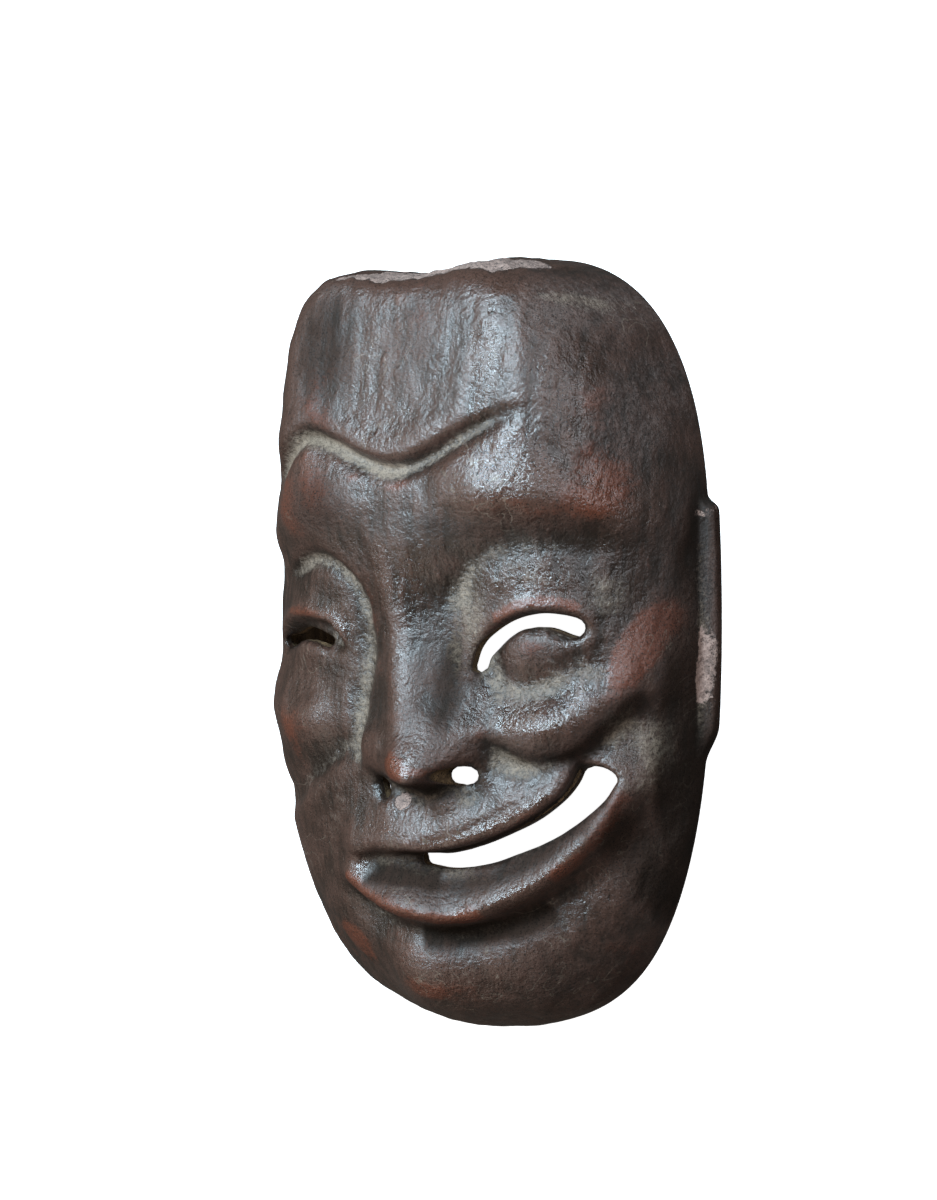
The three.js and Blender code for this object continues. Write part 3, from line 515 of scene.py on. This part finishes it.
class Form:
    """The mask's large form in millimetres, from its named sizes."""

    def __init__(self, sizes):
        self.a = sizes.half_width / MM
        self.b = sizes.half_height / MM
        self.wall = sizes.wall / MM
        self.crown_wall = sizes.crown_wall / MM

    def top_dip(self, x, y):
        """How much lower the top edge stands on the wearer's right half."""
        return np.where(y > 0, TOP_DIP * bell((x - TOP_DIP_X) / TOP_DIP_WIDTH) * (y / self.b), 0)

    def place(self, u, v):
        """Two numbers from -1 to 1 spread over the rim's outline: the square becomes a disc by
        (u*sqrt(1 - v^2/2), v*sqrt(1 - u^2/2)), and the disc the superellipse |x/a|^n + |y/b|^n = 1."""
        px, py = u * np.sqrt(1 - v * v / 2), v * np.sqrt(1 - u * u / 2)
        angle = np.arctan2(py, px)
        out = np.sin(np.minimum(np.hypot(px, py), 1) * np.pi / 2)
        cx, cy = np.cos(angle), np.sin(angle)
        reach = out * (np.abs(cx) ** CORNER + np.abs(cy) ** CORNER) ** (-1 / CORNER)
        reach = reach * round_table(angle / (2 * np.pi) + FROM_CHIN, OUTLINE)
        x, y = self.a * reach * cx, self.b * reach * cy
        return x, y - self.top_dip(x, y)

    def spread(self, x, y, inset=0.0):
        """The share of the way from the middle to the rim, and the direction as a share of a whole turn."""
        y = y + self.top_dip(x, y)
        turn = np.arctan2(y / self.b, x / self.a) / (2 * np.pi) + FROM_CHIN
        u, v = np.abs(x / (self.a - inset)), np.abs(y / (self.b - inset))
        return np.minimum((u ** CORNER + v ** CORNER) ** (1 / CORNER) / round_table(turn, OUTLINE), 1), turn

    def dome(self, x, y, inset=0.0):
        """Height of the plain front: crown * fall * sqrt(1 - r^k), with r the share of the way to the rim."""
        r, turn = self.spread(x, y, inset)
        power = np.exp(round_table(turn, np.log(BOXY)))
        crown = along_table((y / self.b + 1) / 2, CROWN)
        if inset:
            power = np.minimum(power, BOXY_INSIDE)
            crown = crown - self.crown_wall
        return crown * (1 - SIDE_FALL * (x / self.a) ** 2) * np.sqrt(np.maximum(1 - r ** power, 0))

    def normal(self, x, y, step=0.4):
        """Unit normal of the plain front, from differences over a small step."""
        n = np.stack([self.dome(x - step, y) - self.dome(x + step, y),
                      self.dome(x, y - step) - self.dome(x, y + step),
                      np.full_like(x, 2 * step)], -1)
        return n / np.linalg.norm(n, axis=-1, keepdims=True)


def ear(y, z):
    """How far the ear stands out of the side: a pad with soft ends along the rim."""
    along = smooth(EAR_TOP + EAR_TOP_FADE, EAR_TOP - EAR_TOP_FADE, y)
    along = along * smooth(EAR_BOTTOM, EAR_BOTTOM + EAR_BOTTOM_FADE, y)
    return EAR_OUT * along * smooth(EAR_DEPTH, EAR_DEPTH - EAR_SLOPE, z)


def noise(points, scale, seed):
    """Smooth noise from -1 to 1: a seeded lattice of random numbers, blended by 3t^2 - 2t^3 in each cell."""
    lattice = np.random.default_rng(seed).uniform(-1, 1, (NOISE_CELLS,) * 3)
    p = points / np.asarray(scale, float) + NOISE_START
    cell = np.floor(p).astype(int)
    f = p - cell
    f = f * f * (3 - 2 * f)
    total = 0
    for corner in np.ndindex(2, 2, 2):
        weight = np.prod(np.where(corner, f, 1 - f), axis=-1)
        i, j, k = np.moveaxis((cell + corner) % NOISE_CELLS, -1, 0)
        total = total + weight * lattice[i, j, k]
    return total


def layered(points, layers, start=0):
    """The sum of noises, each with its own sizes, share and seed."""
    return sum((share * noise(points, sizes, seed) for sizes, share, seed in layers), start)


def scoops(x, y):
    """Depth from 0 to 1 of overlapping scoops: the square of the distance to the nearest of a jittered
    lattice of long cells, every second row moved by half a cell."""
    jitter = np.random.default_rng(SCOOP_SEED).uniform(*SCOOP_SPREAD, (SCOOP_CELLS, SCOOP_CELLS, 2))
    p = np.stack([x / SCOOP_SIZE[0], y / SCOOP_SIZE[1]], -1) + SCOOP_START
    p[..., 0] += 0.5 * (np.floor(p[..., 1]) % 2)
    cell = np.floor(p).astype(int)
    best = np.full(x.shape, np.inf)
    for di, dj in np.ndindex(3, 3):
        near = cell + (di - 1, dj - 1)
        spot = near + jitter[near[..., 0] % SCOOP_CELLS, near[..., 1] % SCOOP_CELLS]
        best = np.minimum(best, ((p - spot) ** 2).sum(-1))
    return np.clip(best, 0, 1)


def steps(count, spacing):
    """Numbers from -1 to 1 whose gaps follow a table of widths."""
    gaps = along_table((np.arange(count) + 0.5) / count, spacing)
    sums = np.concatenate([[0], np.cumsum(gaps)])
    return 2 * sums / sums[-1] - 1


def blurred(grid, passes):
    """A grid of values averaged with its neighbours by (1, 2, 1)/4 both ways, many times."""
    for _ in range(2 * passes):
        padded = np.concatenate([grid[:1], grid, grid[-1:]])
        grid = ((padded[:-2] + 2 * grid + padded[2:]) / 4).swapaxes(0, 1)
    return grid


def grid_normals(points):
    """Unit normals of a grid of points, from the cross product of its two differences."""
    n = np.cross(np.gradient(points, axis=1), np.gradient(points, axis=0))
    return n / np.maximum(np.linalg.norm(n, axis=-1, keepdims=True), TINY)


def stand_out(points, passes):
    """How far each point stands out of the averaged surface round it, along its normal."""
    return ((points - blurred(points, passes)) * grid_normals(points)).sum(-1)


def snapped(form, u, v):
    """The grid's places, with the points nearest an opening's edge moved onto it, and a state for each:
    -1 inside an opening, 0 on its edge, 1 outside."""
    x, y = form.place(u, v)
    gap = opening_distance(x, y)
    near = np.zeros(gap.shape, bool)
    for values, marks in ((gap, near), (gap.T, near.T)):
        a, b = values[:-1], values[1:]
        crossing = a * b < 0
        marks[:-1] |= crossing & (np.abs(a) <= np.abs(b))
        marks[1:] |= crossing & (np.abs(a) > np.abs(b))
    for _ in range(SNAP_ROUNDS):
        px, py = x[near], y[near]
        g = opening_distance(px, py)
        gx = (opening_distance(px + SNAP_STEP, py) - g) / SNAP_STEP
        gy = (opening_distance(px, py + SNAP_STEP) - g) / SNAP_STEP
        size = np.maximum(gx * gx + gy * gy, SNAP_LEAST)
        x[near], y[near] = px - g * gx / size, py - g * gy / size
    state = np.where(gap < 0, -1, 1)
    state[near] = 0
    return x, y, state


def kept_faces(state, x, y):
    """Triangles of the grid outside the openings. A cell with one corner inside is cut along its diagonal."""
    index = np.arange(state.size).reshape(state.shape)
    q = np.stack([index[:-1, :-1], index[:-1, 1:], index[1:, 1:], index[1:, :-1]], -1).reshape(-1, 4)
    flip = (q[:, 0] % 2 + q[:, 0] // state.shape[1] % 2) % 2 == 1
    s = state.ravel()[q]
    use_other = (s[:, 0] * s[:, 2] < 0) | (flip & (s[:, 1] * s[:, 3] >= 0))
    t = np.where(use_other[:, None, None], q[:, [[0, 1, 3], [1, 2, 3]]], q[:, [[0, 1, 2], [0, 2, 3]]])
    t = t.reshape(-1, 3)
    ts = state.ravel()[t]
    middle = opening_distance(x.ravel()[t].mean(1), y.ravel()[t].mean(1))
    inside = (ts.min(1) < 0) | ((ts.max(1) == 0) & (middle < 0))
    return t[~inside]


def edges_once(faces, count):
    """Directed edges of the triangles that no neighbour runs the other way: the edges of all holes."""
    e = np.concatenate([faces[:, [0, 1]], faces[:, [1, 2]], faces[:, [2, 0]]])
    return e[~np.isin(e @ (count, 1), e @ (1, count))]


def loops(edges):
    """The edges joined head to tail into closed loops of point numbers."""
    onward = dict(edges.tolist())
    if len(onward) < len(edges):
        raise RuntimeError("the edge of an opening touches itself")
    found = []
    while onward:
        start, at = next(iter(onward.items()))
        loop = []
        while at != start or not loop:
            loop.append(start if not loop else at)
            at = onward.pop(loop[-1])
        found.append(np.array(loop))
    return found


def strip(first, second):
    """Two triangles between each pair of neighbours of two closed loops of the same length."""
    a, b = first, np.roll(first, -1)
    c, d = np.roll(second, -1), second
    return np.concatenate([np.stack([b, a, d], -1), np.stack([b, d, c], -1)])


def relief(points, sizes):
    """Height of the hand's unevenness: three sizes of soft lumps, and long upright cuts on the forehead."""
    soft = layered(points, SOFT_LUMPS)
    forehead = smooth(*LONG_CUTS_FROM, points[..., 1])
    cuts = layered(points, LONG_CUTS)
    return (sizes.unevenness * soft + sizes.tool_marks * cuts * forehead) / MM


def torn_edge(form, x, y, z):
    """How far the top edge has broken away, from 0 to 1: from where the front has turned to face the top of
    the forehead, down to an uneven border that rises towards both ends."""
    flat = np.stack([x, y, np.zeros_like(x)], -1)
    up = form.normal(x, y)[..., 1] + TORN_UNEVEN * layered(flat, TORN_UPPER_LAYERS)
    rise = TORN_RISE * np.abs((x - TORN_MIDDLE) / TORN_HALF) ** 3
    low = layered(np.stack([x, y, z], -1), TORN_LOWER_LAYERS, TORN_LOW + rise)
    part = smooth(*TORN_FROM, y) * smooth(low - 1, low + 1, z)
    return smooth(TORN_FACING - TORN_SOFTNESS, TORN_FACING + TORN_SOFTNESS, up) * part


def outer_sheet(form, x, y, sizes):
    """The front: the plain front moved along its normal by the carving, out at the ears, made uneven, and
    broken away along the top edge."""
    z = form.dome(x, y)
    n = form.normal(x, y)
    share = smooth(*CARVED_FROM, z) * (SIDE_SHARE + (1 - SIDE_SHARE) * n[..., 2])
    height = (carving(x, y) + stroke(x, y, *LIP_CUT)) * share + ear(y, z)
    points = np.stack([x, y, z], -1) + n * height[..., None]
    points = points + n * (relief(points, sizes) * smooth(*UNEVEN_FROM, z))[..., None]
    broken = torn_edge(form, x, y, z) * (TORN_LEAST + noise(points, TORN_GRAIN, TORN_SEED))
    return points - n * (TORN_DEPTH * broken)[..., None]


def inner_sheet(form, outer, x, y, gap, sizes):
    """The hollow: a smaller plain front that follows deep carving closely and high carving loosely, with
    scoops, and comes straight under the outer sheet at the openings."""
    to_rim = (1 - form.spread(x, y)[0]) * form.a
    away = np.maximum(gap, 0)
    pull = np.where(away + to_rim > 0, away / np.maximum(away + to_rim, TINY), 1)
    ix = outer[..., 0] + (x * (1 - form.wall / form.a) - outer[..., 0]) * pull
    iy = outer[..., 1] + (y * (1 - form.wall / form.b) - outer[..., 1]) * pull
    height = carving(ix, iy)
    plain = form.dome(ix, iy, form.wall)
    from_opening = np.maximum(opening_distance(ix, iy) + THINNING_EDGE, 0)
    thinner = THINNING * bell(from_opening / THINNING_WIDTH)
    follow = np.where(height < 0, FOLLOW_DEEP, FOLLOW_HIGH) * height + thinner
    scoop = sizes.gouge_marks / MM * (scoops(ix, iy) - 0.5) * smooth(*SCOOPS_FROM, plain)
    iz = np.maximum(plain + follow * smooth(*HOLLOW_FROM, plain) + scoop, 0)
    return np.stack([ix, iy, np.minimum(iz, np.maximum(outer[..., 2] - LEAST_WALL, 0))], -1)


def mask_surface(sizes):
    """The whole mask: an outer and an inner sheet over one grid, joined at the rim and in the openings."""
    form = Form(sizes)
    u, v = np.meshgrid(steps(COLUMNS, COLUMN_SPACING), steps(ROWS, ROW_SPACING))
    x, y, state = snapped(form, u, v)
    gap = np.where(state == 0, 0, opening_distance(x, y))
    outer = outer_sheet(form, x, y, sizes)
    inner = inner_sheet(form, outer, x, y, gap, sizes)
    outer[..., 2] -= EDGE_DROP * np.clip(1 - gap / EDGE_WIDTH, 0, 1) ** 2 * (gap >= 0)
    rim = np.maximum(np.abs(u), np.abs(v)) > ON_RIM
    outer[rim, 2], inner[rim, 2] = 0, 0
    faces = kept_faces(state, x, y)

    count = x.size
    points = [outer.reshape(-1, 3), inner.reshape(-1, 3)]
    kinds = [np.zeros(count), np.ones(count)]
    triangles = [faces, faces[:, ::-1] + count]
    total = 2 * count
    for loop in loops(edges_once(faces, count)):
        on_rim = rim.ravel()[loop].all()
        rows = RIM_ROWS if on_rim else WALL_ROWS
        before = loop
        for k in range(1, rows):
            t = k / rows
            row = points[0][loop] * (1 - t) + points[1][loop] * t
            if not on_rim:
                wave = noise(row[:, None], WAVE_SIZES, WAVE_SEED)
                row[:, :2] += WAVE_HEIGHT * math.sin(math.pi * t) * wave
            here = total + np.arange(len(loop))
            points.append(row)
            kinds.append(np.full(len(loop), RIM_INSIDE if on_rim else smooth(0, 0.5, t)))
            triangles.append(strip(before, here))
            before, total = here, total + len(loop)
        triangles.append(strip(before, loop + count))
    return form, *map(np.concatenate, (points, kinds, triangles)), (x, y, outer)


def mask_mesh(sizes):
    """The surface as a mesh in metres without loose points, and its painted values by point."""
    form, points, kinds, triangles, sheet = mask_surface(sizes)
    count = len(points)
    used, triangles = np.unique(triangles, return_inverse=True)
    triangles = triangles.reshape(-1, 3)
    mesh = bpy.data.meshes.new("mask_carving")
    points = (points[used] + (0, MIDDLE_Y, 0)) * MM
    mesh.from_pydata(points.tolist(), [], triangles.tolist())
    mesh.polygons.foreach_set("use_smooth", np.ones(len(mesh.polygons), bool))
    layers = painted_values(form, count, kinds, sheet)
    for name, values in layers.items():
        mesh.attributes.new(name, "FLOAT", "POINT").data.foreach_set("value", values[used].astype(np.float32))
    mesh.update()
    if mesh.validate():
        raise RuntimeError("the mask's mesh had faulty faces")
    return mesh


def painted(x, y, spots, lines):
    """Strength of one kind of wear over the front: the greatest of its turned bells and of its soft lines."""
    found = [lump(x, y, *spot) for spot in spots]
    for points, width, strength in lines:
        signed, share = nearest(x, y, points)
        found.append(strength * bell(signed / width) * fade(share, LINE_FADE, LINE_FADE))
    return np.max(found, axis=0)


def painted_values(form, total, kinds, sheet):
    """Values the material reads at each point: wear and painted shade, and how hollow, raised, steep and far
    inside it is.
    """
    x, y, outer = sheet
    fine, broad = stand_out(outer, FINE_PASSES), stand_out(outer, BROAD_PASSES)
    layers = {name: painted(x, y, *marks) for name, marks in WEAR.items()}
    chips = layers["bare"] * np.where(x < FAR_SIDE, smooth(*FAR_CHIPS_FROM, outer[..., 2]), 1)
    layers["bare"] = np.maximum(chips, torn_edge(form, x, y, form.dome(x, y)) * TORN_BARE)
    layers["hollow"] = smooth(*HOLLOW_FINE, -fine) * FINE_SHARE + smooth(*HOLLOW_BROAD, -broad) * BROAD_SHARE
    layers["ridge"] = smooth(*RIDGE_FINE, fine) * FINE_SHARE + smooth(*RIDGE_BROAD, broad) * BROAD_SHARE
    layers["steep"] = smooth(*STEEP_FROM, grid_normals(outer)[..., 2])
    rest = np.zeros(total - x.size)
    values = {name: np.concatenate([np.clip(grid, 0, 1).ravel(), rest]) for name, grid in layers.items()}
    values["inside"] = kinds
    return values


class Socket:
    """A node's output that adds its own maths nodes when it is used in an expression."""

    def __init__(self, material, output):
        self.material = material
        self.output = output

    def math(self, operation, *others, swap=False):
        values = [*others, self] if swap else [self, *others]
        return self.material.add("ShaderNodeMath", {"operation": operation}, dict(enumerate(values)))

    def __add__(self, other):
        return self.math("ADD", other)

    __radd__ = __add__

    def __sub__(self, other):
        return self.math("SUBTRACT", other)

    def __rsub__(self, other):
        return self.math("SUBTRACT", other, swap=True)

    def __mul__(self, other):
        return self.math("MULTIPLY", other)

    __rmul__ = __mul__

    def between(self, start, end):
        """0 below start, 1 above end, smooth between."""
        settings = {"interpolation_type": "SMOOTHSTEP", "clamp": True}
        values = {"Value": self, "From Min": start, "From Max": end}
        if start > end:
            values = {"Value": self, "From Min": end, "From Max": start, "To Min": 1.0, "To Max": 0.0}
        return self.material.add("ShaderNodeMapRange", settings, values)


class Finish:
    """A material made node by node."""

    def __init__(self, name):
        self.data = bpy.data.materials.new(name)
        self.data.use_nodes = True
        self.nodes = self.data.node_tree.nodes
        self.links = self.data.node_tree.links
        self.nodes.clear()

    def add(self, kind, settings=None, values=None, output=0):
        """A node of one kind: its settings first, then the values or links of its sockets."""
        node = self.nodes.new(kind)
        for name, setting in (settings or {}).items():
            setattr(node, name, setting)
        for name, value in (values or {}).items():
            if isinstance(value, Socket):
                self.links.new(value.output, node.inputs[name])
            else:
                node.inputs[name].default_value = value
        return Socket(self, node.outputs[output]) if node.outputs else None

    def mix(self, factor, first, second):
        """Two colours mixed."""
        first, second = (one if isinstance(one, Socket) else (*one, 1.0) for one in (first, second))
        settings = {"data_type": "RGBA", "clamp_factor": True}
        return self.add("ShaderNodeMix", settings, {0: factor, 6: first, 7: second}, output=2)

    def noise(self, place, scale, detail=4.0, roughness=0.55, stretch=None, distortion=0.0):
        """Cloudy noise, stretched along the axes by a Mapping node."""
        if stretch:
            place = self.add("ShaderNodeMapping", values={"Vector": place, "Scale": stretch})
        values = {"Vector": place, "Scale": scale, "Detail": detail, "Roughness": roughness,
                  "Distortion": distortion}
        return self.add("ShaderNodeTexNoise", values=values)

    def surface(self, shader):
        """The material's output."""
        self.add("ShaderNodeOutputMaterial", values={"Surface": shader})


def darker(colour, share):
    return [share * value for value in colour]


def lacquered_wood(colours):
    """Old dark lacquer over carved wood: rubbed red where it is high, dusty in the hollows, bare in chips,
    with painted shade.
    """
    m = Finish("old lacquer on carved wood")
    place = m.add("ShaderNodeTexCoord", output="Object")
    names = ("hollow", "ridge", "red", "dusty", "film_and_sheen", "soot_and_shade", "polish", "bare", "steep", "inside")
    hollow, ridge, red, dusty, film_and_sheen, soot_and_shade, polish, bare, steep, inside = (
        m.add("ShaderNodeAttribute", {"attribute_name": name}, output="Fac") for name in names)

    cloud = m.noise(place, 22, 4)
    blotch = m.noise(place, 95, 5, 0.6)
    streak = m.noise(place, 420, 4, 0.6, stretch=(1, 0.12, 0.5))
    grit = m.noise(place, 620, 4, 0.65)
    speck = m.noise(place, 1900, 2)
    wrinkle = m.add("ShaderNodeTexNoise", {"noise_type": "RIDGED_MULTIFRACTAL"}, {
        "Vector": place, "Scale": 270, "Detail": 3, "Roughness": 0.5, "Lacunarity": 2.2, "Distortion": 0.9})
    thread = m.noise(place, 55, 2, distortion=1.2)
    patchy, gritty = blotch - 0.5, grit - 0.5

    thin = (cloud * 0.6 + streak * 0.6 + blotch * 0.5 + ridge * 0.2 - hollow * 0.2).between(0.62, 1.05)
    base = m.mix(thin, colours.lacquer, colours.lacquer_brown)
    rubbed = (red * 0.85 + ridge * 0.25 + patchy * 1.1 + gritty * 0.7).between(0.32, 0.85)
    base = m.mix(rubbed * 0.85, base, colours.worn)
    # Grey film of dirt, which on the nose's root is a painted highlight
    film = (film_and_sheen * 0.75 + gritty * 1.6 + (speck - 0.5) * 0.9 + patchy * 0.6).between(0.4, 0.9)
    base = m.mix(film * (0.5 - polish * 0.2), base, colours.film)
    settled = (dusty * 0.75 + hollow * 0.45 + patchy * 0.9 + gritty * 0.9).between(0.3, 1.05)
    dust = m.mix((grit * 0.6 + speck * 0.4).between(0.35, 0.6), darker(colours.dust, 0.55), colours.dust)
    base = m.mix(settled * 0.9, base, dust)
    scratch = (thread - 0.5).math("ABSOLUTE").between(0.010, 0.002) * cloud.between(0.52, 0.62)
    base = m.mix(scratch * 0.4, base, colours.dust)
    # Painted shade as soot colour: over real grime, under the lips, the nose and the brows, and on the sides
    # that turn away from the front (steep)
    grime_and_shade = (soot_and_shade * 0.8 + steep * 0.25 + patchy * 0.8).between(0.15, 1.0)
    base = m.mix(grime_and_shade * 0.8, base, colours.soot_and_shade)
    chipped = (bare * 1.25 + patchy * 1.3 + gritty * 0.9).between(0.62, 0.82)
    wood = m.mix(grit.between(0.35, 0.65), darker(colours.bare_wood, 0.5), colours.bare_wood)
    base = m.mix(chipped, base, wood)
    within = inside.between(0.3, 0.75)
    fresh = streak.between(0.35, 0.7) * inside.between(0.55, 0.95)
    base = m.mix(within, base, m.mix(fresh, darker(colours.inside_wood, 0.4), colours.inside_wood))
    pores = (1 - speck.between(0.34, 0.46)) * 0.65 + (1 - wrinkle.between(0.25, 0.6)) * 0.3
    base = m.mix(pores * (1 - settled * 0.6), base, darker(colours.lacquer, 0.3))

    matte = (settled * 0.3 + film * 0.1 + chipped * 0.5 + within * 0.5 + film_and_sheen * 0.25 + steep * 0.15
             + soot_and_shade * 0.3 - polish * 0.19)
    rough = colours.gloss + gritty * 0.25 + patchy * 0.3 + matte
    rough = m.add("ShaderNodeClamp", values={"Value": rough, "Min": GLOSSIEST, "Max": DULLEST})
    height = (blotch * 0.7 + wrinkle * 0.15 + grit * 0.27 + streak * 0.16 + speck * 0.02 + settled * 0.12
              - chipped * 0.3)
    bump = m.add("ShaderNodeBump", values={"Distance": BUMP_DISTANCE, "Height": height})
    glossy = m.add("ShaderNodeBsdfPrincipled", values={
        "Base Color": base, "Roughness": rough, "Normal": bump, "IOR": LACQUER_IOR})
    crust = m.add("ShaderNodeBsdfPrincipled", values={
        "Base Color": base, "Roughness": CRUST_ROUGHNESS, "Normal": bump, "Specular IOR Level": CRUST_GLOSS})
    # The matte crust follows the soot and painted shade too, so little light is reflected there
    dull = soot_and_shade * 0.95 + steep * 0.3 + settled * 0.45 + within + patchy * 0.5 - polish * 0.5
    m.surface(m.add("ShaderNodeMixShader", values={0: dull.between(0.2, 0.95), 1: glossy, 2: crust}))
    return m.data


def pale_floor(colour):
    """Plain pale paper that glows as on a light table, so that it shows pale in the openings."""
    m = Finish("pale floor")
    m.surface(m.add("ShaderNodeBsdfPrincipled", values={
        "Base Color": (*colour, 1.0), "Roughness": FLOOR_ROUGHNESS, "Emission Color": (1.0, 1.0, 1.0, 1.0),
        "Emission Strength": FLOOR_GLOW}))
    return m.data


def linked(name, data):
    """A new object of the scene at the origin."""
    thing = bpy.data.objects.new(name, data)
    bpy.context.collection.objects.link(thing)
    return thing


class MASK_OT_carving(bpy.types.Operator):
    """Add the carved mask with its hollow back"""

    bl_idname = "nuo_mask.carving"
    bl_label = "Carved mask"

    def execute(self, context):
        mesh = mask_mesh(context.scene.mask_sizes)
        mesh.materials.append(lacquered_wood(context.scene.mask_finish))
        piece = linked("carved_mask", mesh)
        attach(piece, "root")
        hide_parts("mask")
        return {"FINISHED"}


class MASK_OT_stage(bpy.types.Operator):
    """Add the pale floor, the soft lights and the camera"""

    bl_idname = "nuo_mask.stage"
    bl_label = "Floor, light and camera"

    def execute(self, context):
        stage = context.scene.mask_stage
        mesh = bpy.data.meshes.new("floor")
        mesh.from_pydata(FLOOR_CORNERS, [], [(0, 1, 2, 3)])
        mesh.materials.append(pale_floor(stage.floor))
        floor = linked("floor", mesh)
        floor.visible_diffuse = floor.visible_glossy = False

        world = bpy.data.worlds.new("soft room")
        world.use_nodes = True
        background = world.node_tree.nodes["Background"]
        background.inputs["Color"].default_value = ROOM_COLOUR
        background.inputs["Strength"].default_value = ROOM_LIGHT
        context.scene.world = world
        for name, place, size, power, colour in LIGHTS:
            light = bpy.data.lights.new(name, "AREA")
            light.size, light.energy, light.color = size, power * stage.key_power, colour
            lamp = linked(name, light)
            lamp.location = place
            lamp.rotation_euler = Vector(place).to_track_quat("Z", "Y").to_euler()

        camera = bpy.data.cameras.new("photo_view")
        camera.sensor_width, camera.lens, camera.clip_end = CAMERA_SENSOR, stage.lens, CAMERA_REACH
        view = linked("photo_view", camera)
        view.matrix_world = (Matrix.Translation(CAMERA_PLACE) @ Matrix.Rotation(stage.yaw, 4, "Y")
                             @ Matrix.Rotation(-stage.pitch, 4, "X") @ Matrix.Rotation(-stage.roll, 4, "Z"))
        context.scene.camera = view
        context.scene.view_settings.view_transform = "Standard"
        return {"FINISHED"}


class MASK_PT_panel(bpy.types.Panel):
    """Lists the mask's sizes, colours and buttons"""

    bl_idname = "MASK_PT_panel"
    bl_label = "Carved mask"
    bl_space_type = "VIEW_3D"
    bl_region_type = "UI"
    bl_category = "Mask"

    def draw(self, context):
        scene = context.scene
        for group in (scene.mask_sizes, scene.mask_finish, scene.mask_stage):
            box = self.layout.box()
            for name in group.__annotations__:
                box.prop(group, name)
        for operator in (MASK_OT_carving, MASK_OT_stage):
            self.layout.operator(operator.bl_idname)


CLASSES = (MaskSizes, MaskFinish, StageSettings, MASK_OT_carving, MASK_OT_stage, MASK_PT_panel)


def register():
    for one in CLASSES:
        bpy.utils.register_class(one)
    bpy.types.Scene.mask_sizes = PointerProperty(type=MaskSizes)
    bpy.types.Scene.mask_finish = PointerProperty(type=MaskFinish)
    bpy.types.Scene.mask_stage = PointerProperty(type=StageSettings)


def unregister():
    del bpy.types.Scene.mask_stage
    del bpy.types.Scene.mask_finish
    del bpy.types.Scene.mask_sizes
    for one in reversed(CLASSES):
        bpy.utils.unregister_class(one)


def main():
    register()
    bpy.ops.nuo_mask.carving()
    bpy.ops.nuo_mask.stage()


if __name__ == "__main__":
    main()
